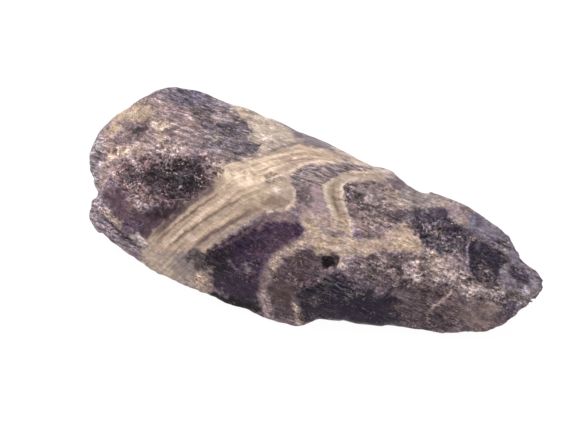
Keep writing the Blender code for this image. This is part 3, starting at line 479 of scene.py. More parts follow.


# Lines in the stone, some of them painted shade, shadow or highlight: colour, width in mm, softness
# in mm, places.
LINES = {
    "band a": ("#d4bfa5", 1.2, 0.3, [
        (-30, -6.3), (-26.6, -3.3), (-21.5, 1.4), (-16.6, 5.4), (-13.2, 7.7)]),
    "dark one": ("#7e6a58", 0.55, 0.3, [
        (-29.1, -6.3), (-26.2, -3.7), (-21.9, -0.1), (-17.7, 2.9), (-13.7, 5.8)]),
    "band b": ("#d6c2a8", 1.1, 0.3, [
        (-27.7, -7.1), (-21.9, -2.6), (-18.8, -0.1), (-14.9, 2.6), (-10.1, 6)]),
    "dark two": ("#87725f", 0.55, 0.35, [
        (-26, -7.1), (-23.8, -5), (-18.3, -1), (-12.6, 2.4), (-9.4, 4.3)]),
    "band c": ("#cbb59b", 1.0, 0.3, [(-23, -6.9), (-17.3, -2.6), (-11.8, -0.1), (-9, 1.8)]),
    "dark three": ("#78665d", 1.0, 0.5, [(-20.9, -6.9), (-16, -3.5), (-11.8, -1), (-7.7, 1)]),
    "band d": ("#ab9a8e", 0.9, 0.4, [
        (-18.8, -7.1), (-14.1, -3.9), (-10.3, -1.8), (-6.9, 0.3), (-4.3, 1)]),
    "window edge": ("#6a5a5c", 0.5, 0.3, [(-17.1, -7.5), (-11.8, -5.2), (-7.7, -2.4), (-3.9, 0.7)]),
    "bright spot": ("#eedccb", 0.9, 0.4, [(-20.9, -4.1), (-20, -4.8)]),
    # A painted highlight: a small white glint.
    "painted glint": ("#fff6ee", 0.5, 0.3, [(-4.6, 0.7), (-3.5, 1.2)]),
    "shade before bands": ("#6f5f5c", 1.4, 0.9, [
        (-29.3, -5), (-26.2, -2), (-20.9, 2.6), (-16.2, 6), (-14.1, 7.9)]),
    "top light": ("#dccbb0", 0.6, 0.3, [(-8.2, 9.9), (-1, 11.3), (3.5, 13), (10.1, 12.6)]),
    "top light two": ("#d9c8ad", 0.6, 0.3, [
        (-11.1, 10.7), (-5.6, 12.4), (-0.7, 13.5), (4.6, 14.3), (9.6, 13.7)]),
    "top one": ("#a8937c", 0.35, 0.25, [
        (-12.8, 10.5), (-7.1, 12.2), (-2.2, 13.5), (2.4, 14.3), (6.7, 13.7)]),
    "top two": ("#ac967f", 0.35, 0.25, [
        (-11.8, 9.6), (-7.1, 10.9), (-2.2, 12.4), (1.2, 13.2), (6, 13.2), (10.9, 12)]),
    "top three": ("#a08b76", 0.35, 0.25, [
        (-8.2, 9), (-3.7, 10.5), (0.1, 11.8), (2.4, 12), (7.1, 12.4)]),
    "thin cream": ("#e6d5bf", 0.45, 0.2, [
        (-5.2, 7.5), (-1.4, 8.8), (1.2, 10.1), (3.5, 11.1), (7.1, 12), (11.5, 11.3)]),
    "rim brown": ("#8f8078", 0.6, 0.3, [
        (-10.7, 12), (-6.5, 13.2), (-1.8, 14.5), (2.4, 15.6), (7.1, 14.9)]),
    "tooth rim": ("#ddcbb6", 0.5, 0.25, [
        (-0.1, 6.7), (1.2, 5.8), (1.2, 3.7), (-0.1, 1.8), (-3.5, 1)]),
    "second a": ("#dccdb6", 0.9, 0.25, [
        (11.8, 8.8), (9.6, 7.9), (7.9, 6.7), (7.9, 4.3), (9, 1.6), (9.9, -0.7), (10.1, -3.7)]),
    "second gap": ("#8c7965", 0.6, 0.25, [
        (10.9, 7.5), (9.6, 6.5), (9.4, 4.1), (10.3, 1.6), (11.1, -0.7), (11.3, -3.3)]),
    "second b": ("#dccbb5", 0.7, 0.25, [
        (15.6, 8.6), (13, 7.7), (11.1, 6.3), (11.1, 3.9), (12, 1.6), (13, -1), (13.2, -4.1)]),
    "second arm": ("#dac9b4", 0.4, 0.2, [(10.5, 9), (14.1, 9.4), (19, 9.6)]),
    "second arm shade": ("#a08d7a", 0.35, 0.2, [(12.6, 8.4), (15.6, 9), (19.8, 8.6)]),
    "cross crack": ("#85735f", 0.3, 0.2, [(9, 3.9), (10.5, 3.5), (11.8, 3.7)]),
    "cross crack two": ("#85735f", 0.3, 0.2, [(9.9, 1), (11.3, 0.3), (13, 0.7)]),
    "cross crack three": ("#917e69", 0.3, 0.2, [(8.8, 6), (10.3, 5.2), (11.5, 5.4)]),
    "cream curve": ("#ad9b8c", 2.0, 1.2, [
        (5.4, -4.1), (1.6, -6.3), (-1.4, -7.9), (-3.5, -10.5), (-5, -13.7)]),
    "curve foot": ("#988880", 1.5, 0.9, [(-5.2, -13.9), (-5.4, -16.4), (-4.6, -19), (-2.9, -21.7)]),
    "lens crescent": ("#958b96", 0.4, 0.25, [
        (38.7, -4.1), (37.8, -6.7), (37.8, -9.6), (38.7, -12.6)]),
    "light streak": ("#b8a598", 0.45, 0.3, [(29.3, -20.7), (32.1, -17.9), (35.7, -15.4)]),
    "front violet": ("#4a3d56", 0.6, 0.5, [(9.6, -12.2), (12.6, -14.3), (15.6, -15.8)]),
    "lump crack": ("#3f373c", 0.45, 0.25, [
        (-39.7, -0.1), (-38, -1.2), (-35.9, -2.9), (-33.8, -4.6), (-31.7, -5.6)]),
    "lump crack low": ("#463d42", 0.35, 0.2, [
        (-38.2, -2), (-35.9, -3.9), (-33.6, -5.6), (-31.3, -6.5)]),
    # Brown arcs of painted shadow under the small rounded lobes of the bright corner.
    "corner shadow arc one": ("#a08a73", 0.4, 0.25, [(-13, 10.7), (-12, 9.6), (-12.2, 7.7)]),
    "corner shadow arc two": ("#a08a73", 0.4, 0.25, [(-10.7, 10.5), (-9.2, 9.2), (-9.6, 7.3)]),
    "corner shadow arc three": ("#a38d76", 0.4, 0.25, [(-8.8, 10.3), (-7.1, 9), (-7.3, 7.3)]),
    "corner lobe one": ("#efdfc6", 0.9, 0.6, [(-13.2, 9.4), (-12.6, 8.4)]),
    "corner lobe two": ("#efdfc6", 0.9, 0.6, [(-11.1, 8.8), (-10.5, 7.5)]),
    "corner lobe three": ("#eddcc4", 0.9, 0.6, [(-8.6, 8.6), (-8.2, 7.3)]),
    "tooth light": ("#f2e6d6", 0.8, 0.6, [(-3.1, 6), (-2, 5.2)]),
    "dome scratch": ("#d8c8c2", 0.35, 0.15, [(-26, 20.2), (-22.6, 19), (-19, 17.5)]),
    "dome scratch two": ("#c9b8b4", 0.3, 0.15, [(-22.4, 22.1), (-20.7, 20.7)]),
    "dome scratch three": ("#c9b8b4", 0.3, 0.15, [(-24.7, 18.3), (-21.7, 17.5), (-19.6, 16.4)]),
    "window scratch": ("#7d6c7c", 0.2, 0.2, [(-13.2, -8.6), (-11.8, -10.3), (-10.1, -12)]),
    # A painted highlight: a small glint in the hollow.
    "painted hollow glint": ("#c9bfc2", 0.25, 0.2, [(-23.6, 5.8), (-22.8, 6.5), (-22.1, 5.6)]),
}

# Clusters of broken crystals that catch the light, with more flakes and painted glints: place,
# reach in mm, strength.
GLITTER = {
    "hollow top": ((-27.2, 14.5), 2.2, 0.9),
    "hollow lip": ((-23.4, 13.5), 2.2, 0.8),
    "hollow right": ((-16.2, 10.1), 2.0, 0.9),
    "hollow middle": ((-26.2, 11.5), 1.6, 0.9),
    "hollow left": ((-32.7, 10.9), 1.7, 0.8),
    "hollow low": ((-31.5, 2.9), 2.4, 0.9),
    "hollow foot": ((-32.3, 6.3), 2.0, 0.6),
    "ridge left": ((16.2, -11.8), 2.6, 0.7),
    "ridge middle": ((27.2, -11.8), 2.8, 1.0),
    "ridge right": ((35.9, -13.5), 3.2, 1.0),
    "ridge end": ((43.8, -16.4), 3.0, 0.8),
    "ridge crest": ((27.7, -12.2), 1.6, 1.0),
    "ridge peak": ((31.3, -13.7), 1.3, 1.0),
    "ridge snow": ((38.2, -15.6), 2.2, 1.0),
    "ridge far": ((44.8, -16), 1.8, 0.9),
    "lens foot": ((41.9, -12.4), 1.6, 0.8),
    "deep purple": ((31.5, -3.7), 2.6, 0.8),
    "deep purple low": ((34.6, -7.1), 2.2, 0.7),
    "lens low": ((40.6, -10.5), 1.6, 0.4),
    "mauve edge": ((45.5, -6.7), 2.0, 0.7),
    "front top": ((7.7, -13.5), 1.6, 0.4),
    "front middle": ((13.9, -15.6), 1.6, 0.35),
    "front left": ((5.4, -17.9), 1.2, 0.35),
    "window foot": ((-8.6, -10.9), 1.8, 0.5),
    "arch foot": ((-5.6, -17.7), 1.6, 0.7),
    "below the ridge": ((20, -10.9), 2.4, 0.7),
    "grey block": ((17.7, 0.3), 2.0, 0.7),
    "slate crest": ((-14.1, 21.3), 2.0, 0.6),
    "pit side": ((11.5, -10.1), 1.8, 0.8),
}

# Pale and dark crumbs in the clusters, the pale ones partly pale crystal and partly painted glints:
# colour, size in mm, contrast, shares, and where in the noise each kind starts.
PALE_CRYSTAL_GLINT = "#dac6c1"
PALE_CRYSTAL_SIZE = 0.5
CRUMB_CONTRAST = 3.6
PALE_GLINT_SHARE = 0.65
PALE_GLINT_ABOVE = -0.15
DARK_SHARE = 0.45
DARK_BELOW = -0.1
# A cluster fades out at this many times its reach, and goes this deep behind the front, in mm.
GLITTER_END = 1.3
GLITTER_DEPTH = 1
# Lines fade out over this share of their length at each end, and over this many mm at most.
LINE_FADE_SHARE = 0.25
LINE_FADE = 3.0

# The first white band's outer edge, which the fine bands run parallel to.
CHEVRON = [
    (-35.7, -11.3), (-32.7, -8.4), (-30, -5.8), (-26.6, -2.4), (-21.5, 2.4), (-15.8, 6.9),
    (-12.8, 9.4), (-8.2, 11.1), (-1.8, 13), (4.6, 13.7), (12, 12), (21.5, 10.3)]
# Where fine parallel bands show, in mm across them, and how fast they gain strength there.
BANDED_REACH = (-7.0, 13.0)
BANDED_GAIN = 3
# Well past the stone on any side, in mm.
FAR_OFF = 200.0
# Sight lines to the stone start this far off it, in mm.
CLEAR_OF_STONE = 80.0
# How far the fine skin may lie under the plain one and still count as in front, in mm.
SKIN_PLAY = 0.8
# How a colour runs through the stone, along and up for each mm behind the front skin.
THROUGH = (0.45, 0.35)
# Zones wander behind the rim: size of the wandering in mm, its share of the depth that lies
# before it, and its most in mm.
WANDER_SIZE = 9.0
WANDER_SHARE = 0.35
WANDER_MOST = 4.0
# The fine strokes of the break slant down along the stone.
STROKE_SLANT = math.radians(-22)
STROKE = np.array([math.cos(STROKE_SLANT), math.sin(STROKE_SLANT)])
# Zones' edges fray by noises of these sizes in mm and shares, and by strokes of this length,
# width and depth in mm and this share.
FRAY_NOISES = ((3.5, 1.0), (1.4, 1.0), (0.6, 0.7))
FRAY_STROKE = (2.5, 0.7, 4.0)
FRAY_STROKE_SHARE = 0.7
# How much of that the edges of zones and of lines take up, and how far off it is felt, in mm.
ZONE_FRAY = 1.5
LINE_FRAY = 0.2
FRAY_REACH = 3

# The plain solid, in millimetres, to send sight lines to.
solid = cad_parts["amethyst"].data
plain_skin = BVHTree.FromPolygons(
    [vertex.co / MM for vertex in solid.vertices],
    [tuple(face.vertices) for face in solid.polygons])


def stone_before(points):
    """How much stone lies between each point and the eye."""
    eye = PLANE_CENTRE + plane_axes()[2] * VIEW_DISTANCE
    gaps = np.zeros(len(points))
    for i, point in enumerate(Vector(p) for p in points):
        way = (eye - point).normalized()
        gone = plain_skin.ray_cast(point + way * CLEAR_OF_STONE, -way, CLEAR_OF_STONE)[3]
        if gone is not None:
            gaps[i] = CLEAR_OF_STONE - gone
    return gaps


def drawn_places(seen, points):
    """Where each point lies on the drawing: straight in front, slanting and wandering behind."""
    behind = np.clip(stone_before(points) - SKIN_PLAY, 0, None)
    places = seen[:, :2] + np.array(THROUGH) * behind[:, None]
    wander = np.minimum(behind * WANDER_SHARE, WANDER_MOST)
    return places + noise_vectors(points, WANDER_SIZE)[:, :2] * wander[:, None], behind


def along_strokes(seen):
    """Places turned so that the first number runs along the strokes."""
    run = seen[:, 0] * STROKE[0] + seen[:, 1] * STROKE[1]
    across = seen[:, 1] * STROKE[0] - seen[:, 0] * STROKE[1]
    return np.stack([run, across, seen[:, 2]], axis=1)


def close_to(places, outline):
    """Which places an outline's frayed edge can reach."""
    low = outline.min(axis=0) - FRAY_REACH
    high = outline.max(axis=0) + FRAY_REACH
    return ((places > low) & (places < high)).all(axis=1)


def recolour(look, weight, colour):
    """Lays a colour over what is there and leaves the finish."""
    look[:, :3] += weight[:, None] * (np.array(linear(colour)) - look[:, :3])


def painted(seen, points):
    """The look of each point: red, green, blue, roughness, flakes, hackle and strokes."""
    places, behind = drawn_places(seen, points)
    fray = np.zeros((len(points), 2))
    for size, share in FRAY_NOISES:
        fray += share * noise_vectors(points, size)[:, :2]
    strokes = noises(along_strokes(seen), FRAY_STROKE)
    fray += STROKE * FRAY_STROKE_SHARE * strokes[:, None]

    look = np.tile(linear(STONE_BASE[0]) + list(FINISHES[STONE_BASE[1]]), (len(points), 1))
    for colour, finish, edge, outline in ZONES.values():
        outline = np.array(outline)
        near = close_to(places, outline)
        moved = places[near] + fray[near] * edge * ZONE_FRAY
        weight = np.zeros(len(points))
        weight[near] = np.clip(0.5 + inside_by(moved, outline) / (edge * 2.0), 0, 1)
        weight = weight * weight * (3 - 2 * weight)
        look += weight[:, None] * (np.array(linear(colour) + list(FINISHES[finish])) - look)
    for colour, width, edge, line in LINES.values():
        line = np.array(line)
        near = close_to(places, line)
        moved = places[near] + fray[near] * LINE_FRAY
        weight = np.zeros(len(points))
        weight[near] = np.clip(0.5 + (width / 2 - line_gap(moved, line)) / edge, 0, 1)
        length = np.linalg.norm(np.diff(line, axis=0), axis=1).sum()
        to_end = np.linalg.norm(moved[:, None, :] - line[None, [0, -1], :], axis=2).min(axis=1)
        weight[near] *= np.clip(to_end / min(length * LINE_FADE_SHARE, LINE_FADE), 0, 1)
        recolour(look, weight, colour)
    look[:, :3] *= ROSE

    glitter = np.zeros(len(points))
    for place, reach, strength in GLITTER.values():
        away = np.linalg.norm(places - np.array(place), axis=1)
        glitter = np.maximum(glitter, strength * np.clip(GLITTER_END - away / reach, 0, 1))
    glitter *= behind < GLITTER_DEPTH
    look[:, 4] = np.maximum(look[:, 4], glitter)
    crumbs = CRUMB_CONTRAST * noises(points, PALE_CRYSTAL_SIZE)
    look[:, :3] *= 1 - DARK_SHARE * (glitter * np.clip(DARK_BELOW - crumbs, 0, 1))[:, None]
    # Pale crumbs: pale crystal, partly painted glints where the clusters catch the light.
    recolour(look, PALE_GLINT_SHARE * (glitter * np.clip(crumbs - PALE_GLINT_ABOVE, 0, 1)), PALE_CRYSTAL_GLINT)
    return look, places


def banding(places):
    """Distance across the bands from the chevron line, left of it negative, and its strength."""
    line = np.array(CHEVRON)
    gap = line_gap(places, line)
    closed = np.vstack([
        line, [[FAR_OFF, line[-1, 1]], [FAR_OFF, -FAR_OFF], [line[0, 0], -FAR_OFF]]])
    across = np.where(inside_by(places, closed) > 0, gap, -gap)
    low, high = BANDED_REACH
    strength = np.clip(1.0 - np.abs(across - (low + high) / 2) / ((high - low) / 2), 0, 1)
    return across, np.clip(strength * BANDED_GAIN, 0, 1)


# Broken crystals: size in mm, tilt, and how far they step in mm. They show from this hackle up,
# are longer along the strokes by this much, and draw their random numbers this far apart.
CRYSTALS = ((2.0, 0.40, 0.30), (1.0, 0.42, 0.16))
CRYSTALS_FROM = 0.3
CRYSTAL_STRETCH = (1.8, 1.0, 1.0)
CRYSTAL_KEY = 57.0
# Swells of the break: size and height in mm. They keep this much where there is no hackle.
SWELLS = ((3.2, 0.20), (1.4, 0.12), (0.7, 0.06))
SWELL_LEAST = 0.25
# Faces that are seen at a slant keep this share of their hackle, up to this gain for square.
SLANT_HACKLE = 0.35
SLANT_GAIN = 2.0
# Strokes and the grooves of the bands: length, width and depth of each, and height, in mm.
# Strokes are weaker by this share in the bands.
STRIA_SIZE = (5.0, 0.8, 2.4)
STRIA_HEIGHT = 0.16
STRIA_LOST_IN_BANDS = 0.6
GROOVE_SIZE = (0.9, 12.0, 9.0)
GROOVE_HEIGHT = 0.12
# Relief grows to its full height over this much above the table, in mm.
FULL_RELIEF_FROM = 1.5

# Small swellings and dips of the outline: place, reach and how far, in mm.
OUTLINE_PUSHES = {
    "rim step": ((21.7, 9.2), 2.2, 1.0),
    "rim before the step": ((17.7, 10.9), 2.5, 0.4),
    "behind the step": ((30.6, 5.4), 3.0, -0.6),
    "upper rim": ((5, 17.5), 7.0, -0.6),
    "crown": ((-24.1, 27.2), 6.0, 0.35),
    "shoulder": ((-34.9, 23.2), 4.0, -0.7),
    "left lump": ((-42.3, 1.4), 3.0, -0.6),
    "left side": ((-41.9, 12), 4.0, 0.4),
    "point, upper": ((49.7, -8.4), 2.4, -1.1),
    "point, lower": ((52.4, -17.5), 2.4, -0.9),
    "brown foot": ((32.1, -24.3), 5.0, 0.6),
    "right shoulder": ((41.4, 0.1), 3.5, 0.4),
}


def crystal(place, size, tilt, step):
    """Height of broken crystal faces: each cell is a flat with its own tilt and level."""
    _, centres = noise.voronoi(place / size)
    key = centres[0] * CRYSTAL_KEY
    lean = noise.cell_vector(key) * 2.0 - Vector((1.0, 1.0, 1.0))
    return size * tilt * lean.dot(place / size - centres[0]) + step * (noise.cell(key) - 0.5)


def relief(points, seen, look, across, banded, normals):
    """How far the skin stands out at each point, in millimetres."""
    facing = np.abs(normals @ np.array(plane_axes()[2]))
    hackle = look[:, 5] * np.clip(facing * SLANT_GAIN, SLANT_HACKLE, 1)
    heights = np.zeros(len(points))
    stretched = along_strokes(seen) / CRYSTAL_STRETCH
    for i, place in enumerate(Vector(p) for p in stretched):
        swell = sum(high * noise.noise(place / size) for size, high in SWELLS)
        heights[i] += (SWELL_LEAST + hackle[i]) * swell
        if hackle[i] > CRYSTALS_FROM:
            share = (hackle[i] - CRYSTALS_FROM) / (1 - CRYSTALS_FROM)
            heights[i] += share * sum(crystal(place, *kind) for kind in CRYSTALS)
    striae = noises(along_strokes(seen), STRIA_SIZE)
    heights += STRIA_HEIGHT * look[:, 6] * striae * (1 - banded * STRIA_LOST_IN_BANDS)
    grooves = noises(np.stack([across, seen[:, 0], seen[:, 2]], axis=1), GROOVE_SIZE)
    heights += GROOVE_HEIGHT * banded * grooves
    for place, reach, push in OUTLINE_PUSHES.values():
        away = np.linalg.norm(seen[:, :2] - np.array(place), axis=1)
        heights += push * np.exp(-(away / reach) ** 2)
    return heights * np.clip(points[:, 2] / FULL_RELIEF_FROM, 0, 1)


# The solid's facets are evened out before the relief goes on: how often, by how much, and in
# how many grades. Smooth breaks lose them, rough ones keep most, by these two shares.
EVENED_TIMES = 16
EVENED_BY = 0.5
EVENED_GRADES = 10
EVENED_MOST = 1.15
EVENED_HACKLE = 0.9
# The flat that the stone rests on is left as it is: evening starts this high and is full this
# much higher, and what ends up lower than this is laid on the table again, all in mm.
EVENED_FROM = 0.15
EVENED_OVER = 0.5
RESTS_BELOW = 0.08


def evened(obj, share):
    """Evens the skin out, by the given share of each vertex."""
    group = obj.vertex_groups.new(name="evened")
    grade = np.round(share * EVENED_GRADES).astype(int)
    for k in range(1, EVENED_GRADES + 1):
        group.add(np.flatnonzero(grade == k).tolist(), k / EVENED_GRADES, "REPLACE")
    even = obj.modifiers.new("evened", "SMOOTH")
    even.factor = EVENED_BY
    even.iterations = EVENED_TIMES
    even.vertex_group = "evened"
    applied(obj)
    obj.vertex_groups.clear()


stone = fine_copy("amethyst")
points = read_rows(stone.data.vertices, "co") / MM
look, places = painted(as_seen(points), points)
off_table = np.clip((points[:, 2] - EVENED_FROM) / EVENED_OVER, 0, 1)
evened(stone, off_table * np.clip(EVENED_MOST - look[:, 5] * EVENED_HACKLE, 0, 1))

points = read_rows(stone.data.vertices, "co") / MM
normals = read_rows(stone.data.vertex_normals, "vector")
across, banded = banding(places)
heights = relief(points, as_seen(points), look, across, banded, normals)
points += normals * heights[:, None]
points[:, 2] = np.where(points[:, 2] < RESTS_BELOW, 0.0, points[:, 2])
stone.data.vertices.foreach_set("co", (points * MM).astype(np.float32).ravel())
stone.data.update()

stone.data.calc_loop_triangles()
if len(stone.data.loop_triangles) > SKIN_TRIANGLES:
    thin = stone.modifiers.new("fewer faces", "DECIMATE")
    thin.ratio = SKIN_TRIANGLES / len(stone.data.loop_triangles)
    thin.use_collapse_triangulate = True
    applied(stone)

points = read_rows(stone.data.vertices, "co") / MM
seen = as_seen(points)
look, places = painted(seen, points)
across, banded = banding(places)
# What the material reads at each vertex: name, kind, the field it goes into, numbers.
for name, kind, field, values in (
        ("tint", "FLOAT_COLOR", "color", np.column_stack([look[:, :3], np.ones(len(look))])),
        ("finish", "FLOAT_VECTOR", "vector", look[:, 3:6]),
        ("lines", "FLOAT_VECTOR", "vector", np.column_stack([look[:, 6], across, banded])),
        ("drawn", "FLOAT_VECTOR", "vector", seen)):
    attribute = stone.data.attributes.new(name, kind, "POINT")
    attribute.data.foreach_set(field, values.astype(np.float32).ravel())
stone.data.shade_smooth()


def node(tree, kind, settings):
    """Adds a node and gives its outputs. A setting is one of its properties, the value of an
    input, or the output of another node that feeds an input."""
    made = tree.nodes.new(kind)
    for name, value in settings.items():
        if isinstance(value, bpy.types.NodeSocket):
            tree.links.new(value, made.inputs[name])
        elif isinstance(name, str) and hasattr(made, name):
            setattr(made, name, value)
        else:
            made.inputs[name].default_value = value
    return made.outputs


QUARTZ_IOR = 1.544
# The break mirrors little, because the fine cracks just under it scatter the light.
BREAK_MIRROR = 0.15
# The faces of the broken crystals in it are smoother, and glint.
FLAKE_ROUGHNESS = 0.12
# Fine grain of the break that the mesh can't hold: height in mm, and how much of it shows.
GRAIN_HEIGHT = 0.22
GRAIN_SHARE = 0.8

# Sizes of the patterns in the stone: length, width and depth in mm, and how many times the
# strokes' slant they are turned. The sugary grain of the real stone is finer than the smallest
# ones, which are drawn as coarse as they need to be to show.
PATTERNS = {
    "broad": ((7.0, 5.0, 6.0), 0.0),
    "mottle": ((2.4, 1.5, 2.0), 1.0),
    "drift": ((3.4, 2.0, 2.6), 2.0),
    "stroke": ((3.2, 0.42, 1.2), 1.0),
    "patches": ((2.8, 1.8, 2.2), 1.0),
    "grit": ((0.62, 0.34, 0.4), 1.0),
    "facets": ((1.8, 0.8, 1.0), 1.0),
    "chips": ((0.62, 0.44, 0.5), 0.5),
    "sparkles": ((0.36, 0.30, 0.3), 1.0),
    "crystals": ((1.5, 0.85, 1.1), 1.0),
    "slivers": ((5.0, 0.80, 1.6), 1.0),
    "waver": ((1.4, 0.9, 1.2), 0.0),
    "band run": ((9.0, 9.0, 9.0), 0.0),
}
# Cloudy patterns: detail and roughness.
CLOUDS = {
    "broad": (3.0, 0.6),
    "mottle": (5.0, 0.62),
    "drift": (5.0, 0.65),
    "stroke": (5.0, 0.68),
    "patches": (3.0, 0.6),
    "grit": (3.0, 0.7),
}
# The borders between broken crystals and between slivers: their width in cells, and how far
# they waver.
BORDERS = {"crystals": 0.12, "slivers": 0.10}
BORDER_WAVER = (0.9, 0.9, 0.9)
# A border is at its full strength up to this share of its width.
BORDER_FULL = 0.2
# How much borders darken the stone, and lighten it in clusters of crystals and in streaks.
BORDER_DARK = 0.40
BORDER_LIGHT = 1.5
# Fine bands for each mm across the chevron, and how much calmer all else is among them.
BANDS_PER_MM = 1.6
BANDS_CALM = 0.75
# How far the broken crystals lean away from the break that they lie in.
CRYSTAL_LEAN = 1.1


def banded_quartz():
    """Massive banded quartz: cloudy white and violet, glassy where it broke clean, with sugary
    broken crystals and fine scratches that catch the light, and glints painted into its colour."""
    material = bpy.data.materials.new("banded quartz, broken")
    material.use_nodes = True
    tree = material.node_tree
    tree.nodes.clear()
    tint = node(tree, "ShaderNodeAttribute", {"attribute_name": "tint"})["Color"]
    finish = node(tree, "ShaderNodeAttribute", {"attribute_name": "finish"})["Vector"]
    lines = node(tree, "ShaderNodeAttribute", {"attribute_name": "lines"})["Vector"]
    drawn = node(tree, "ShaderNodeAttribute", {"attribute_name": "drawn"})["Vector"]
    rough, flaky, hackle = node(tree, "ShaderNodeSeparateXYZ", {"Vector": finish})
    strokes, across, banded = node(tree, "ShaderNodeSeparateXYZ", {"Vector": lines})

    # Each pattern's places on the drawing, in units of its own size.
    laid = {}
    for name, (size, turn) in PATTERNS.items():
        laid[name] = node(tree, "ShaderNodeMapping", {
            "vector_type": "TEXTURE", "Rotation": (0, 0, STROKE_SLANT * turn), "Scale": size,
            "Vector": drawn})[0]
    cloud = {}
    for name, (detail, roughness) in CLOUDS.items():
        cloud[name] = node(tree, "ShaderNodeTexNoise", {
            "Scale": 1.0, "Detail": detail, "Roughness": roughness, "Vector": laid[name]})["Fac"]

    # Broken crystals in three sizes, each crystal with random numbers of its own.
    flakes = {}
    for name in ("facets", "chips", "sparkles"):
        flakes[name] = node(
            tree, "ShaderNodeTexVoronoi", {"Scale": 1.0, "Vector": laid[name]})["Color"]
    facet = node(tree, "ShaderNodeSeparateColor", {"Color": flakes["facets"]})[0]
    chip = node(tree, "ShaderNodeSeparateColor", {"Color": flakes["chips"]})[1]
    fine_glint_draw, _, glint_draw = node(
        tree, "ShaderNodeSeparateColor", {"Color": flakes["sparkles"]})

    # 1 on the borders between crystals and between slivers, which waver a little.
    waver = node(tree, "ShaderNodeTexNoise", {
        "Scale": 1.0, "Detail": 3.0, "Vector": laid["waver"]})["Color"]
    border = {}
    for name, wide in BORDERS.items():
        wavy = node(tree, "ShaderNodeVectorMath", {
            "operation": "MULTIPLY_ADD", 0: waver, 1: BORDER_WAVER, 2: laid[name]})[0]
        edge = node(tree, "ShaderNodeTexVoronoi", {
            "feature": "DISTANCE_TO_EDGE", "Scale": 1.0, "Vector": wavy})["Distance"]
        border[name] = node(tree, "ShaderNodeMapRange", {
            "Value": edge, 1: wide, 2: wide * BORDER_FULL})[0]

    # Fine parallel bands, wandering a little along their length.
    run = node(tree, "ShaderNodeSeparateXYZ", {"Vector": laid["band run"]})[0]
    band_count = node(
        tree, "ShaderNodeMath", {"operation": "MULTIPLY", 0: across, 1: BANDS_PER_MM})[0]
    band_place = node(tree, "ShaderNodeCombineXYZ", {"X": band_count, "Y": run})[0]
    fine_bands = node(tree, "ShaderNodeTexNoise", {
        "Scale": 1.0, "Detail": 3.0, "Roughness": 0.6, "Vector": band_place})["Fac"]
    calm = node(tree, "ShaderNodeMath", {
        "operation": "MULTIPLY_ADD", 0: banded, 1: -BANDS_CALM, 2: 1.0})[0]

    # How far each pattern counts: pattern, where none and all of it does, and the two ends.
    counts = {
        "warm": (cloud["drift"], 0.50, 0.68, 0.0, 0.8),
        "cool": (cloud["drift"], 0.50, 0.32, 0.0, 0.8),
        "cluster": (cloud["patches"], 0.50, 0.62, 0.0, 1.0),
        "streaky": (cloud["patches"], 0.54, 0.40, 0.0, 1.0),
        # Painted glints: bright spots in the clusters, and finer ones spread over the crust.
        "glint spot": (glint_draw, 0.80, 0.84, 0.0, 0.72),
        "fine painted glints": (fine_glint_draw, 0.86, 0.92, 0.0, 0.45),
        "fine glint patches": (cloud["mottle"], 0.50, 0.60, 0.0, 1.0),
        "crusty": (flaky, 0.25, 0.8, 0.0, 1.0),
        "uneven": (cloud["mottle"], 0.3, 0.7, -0.06, 0.08),
        "shiny": (flaky, 0.15, 1.0, 0.0, 0.35),
    }
    count = {}
    for name, row in counts.items():
        count[name] = node(
            tree, "ShaderNodeMapRange", dict(zip(("Value", 1, 2, 3, 4), row)))[0]

    # What is worked out by multiplying some of these.
    products = {
        "warmth": (count["warm"], calm),
        "coolness": (count["cool"], calm),
        "crystal border": (border["crystals"], flaky),
        "sliver border": (border["slivers"], strokes),
        "grain": (cloud["stroke"], strokes),
        # Where the painted glints lie, coarse and fine.
        "painted glints": (count["glint spot"], count["cluster"], flaky),
        "fine painted glints": (count["fine painted glints"], count["fine glint patches"], count["crusty"]),
        "pale slivers": (border["slivers"], strokes, count["streaky"], 0.25),
    }
    product = {}
    for name, (first, *others) in products.items():
        for other in others:
            first = node(
                tree, "ShaderNodeMath", {"operation": "MULTIPLY", 0: first, 1: other})[0]
        product[name] = first

    # Borders are bright in clusters and streaks, and dark elsewhere.
    bright_edge = 0.0
    dark_edge = 0.0
    lights = (("crystal border", count["cluster"]), ("sliver border", count["streaky"]))
    for name, light in lights:
        bright_edge = node(tree, "ShaderNodeMath", {
            "operation": "MULTIPLY_ADD", "use_clamp": True, 0: product[name], 1: light,
            2: bright_edge})[0]
        unlit = node(tree, "ShaderNodeMath", {"operation": "SUBTRACT", 0: 1.0, 1: light})[0]
        dark_edge = node(tree, "ShaderNodeMath", {
            "operation": "MULTIPLY_ADD", "use_clamp": True, 0: product[name], 1: unlit,
            2: dark_edge})[0]
    shade = node(tree, "ShaderNodeMath", {
        "operation": "MULTIPLY_ADD", 0: dark_edge, 1: -BORDER_DARK, 2: 1.0})[0]
    shade = node(tree, "ShaderNodeMath", {
        "operation": "MULTIPLY_ADD", 0: bright_edge, 1: BORDER_LIGHT, 2: shade})[0]
    # Each pattern darkens and lightens the stone: pattern, its share, where it is darkest and
    # lightest, and the shade at either end.
    for pattern, share, low, high, darkest, lightest in (
            (cloud["mottle"], calm, 0.32, 0.68, 0.56, 1.50),
            (cloud["broad"], 1.0, 0.3, 0.7, 0.88, 1.12),
            (cloud["grit"], calm, 0.36, 0.64, 0.66, 1.38),
            (fine_bands, banded, 0.34, 0.66, 0.80, 1.16),
            (cloud["stroke"], strokes, 0.41, 0.59, 0.42, 1.78),
            (facet, flaky, 0.0, 1.0, 0.60, 1.45),
            (chip, flaky, 0.0, 1.0, 0.72, 1.28)):
        own = node(tree, "ShaderNodeMapRange", {
            "Value": pattern, 1: low, 2: high, 3: darkest, 4: lightest})[0]
        part = node(tree, "ShaderNodeMix", {"data_type": "FLOAT", 0: share, 2: 1.0, 3: own})[0]
        shade = node(tree, "ShaderNodeMath", {"operation": "MULTIPLY", 0: shade, 1: part})[0]
    colour = node(tree, "ShaderNodeVectorMath", {"operation": "SCALE", 0: tint, "Scale": shade})[0]
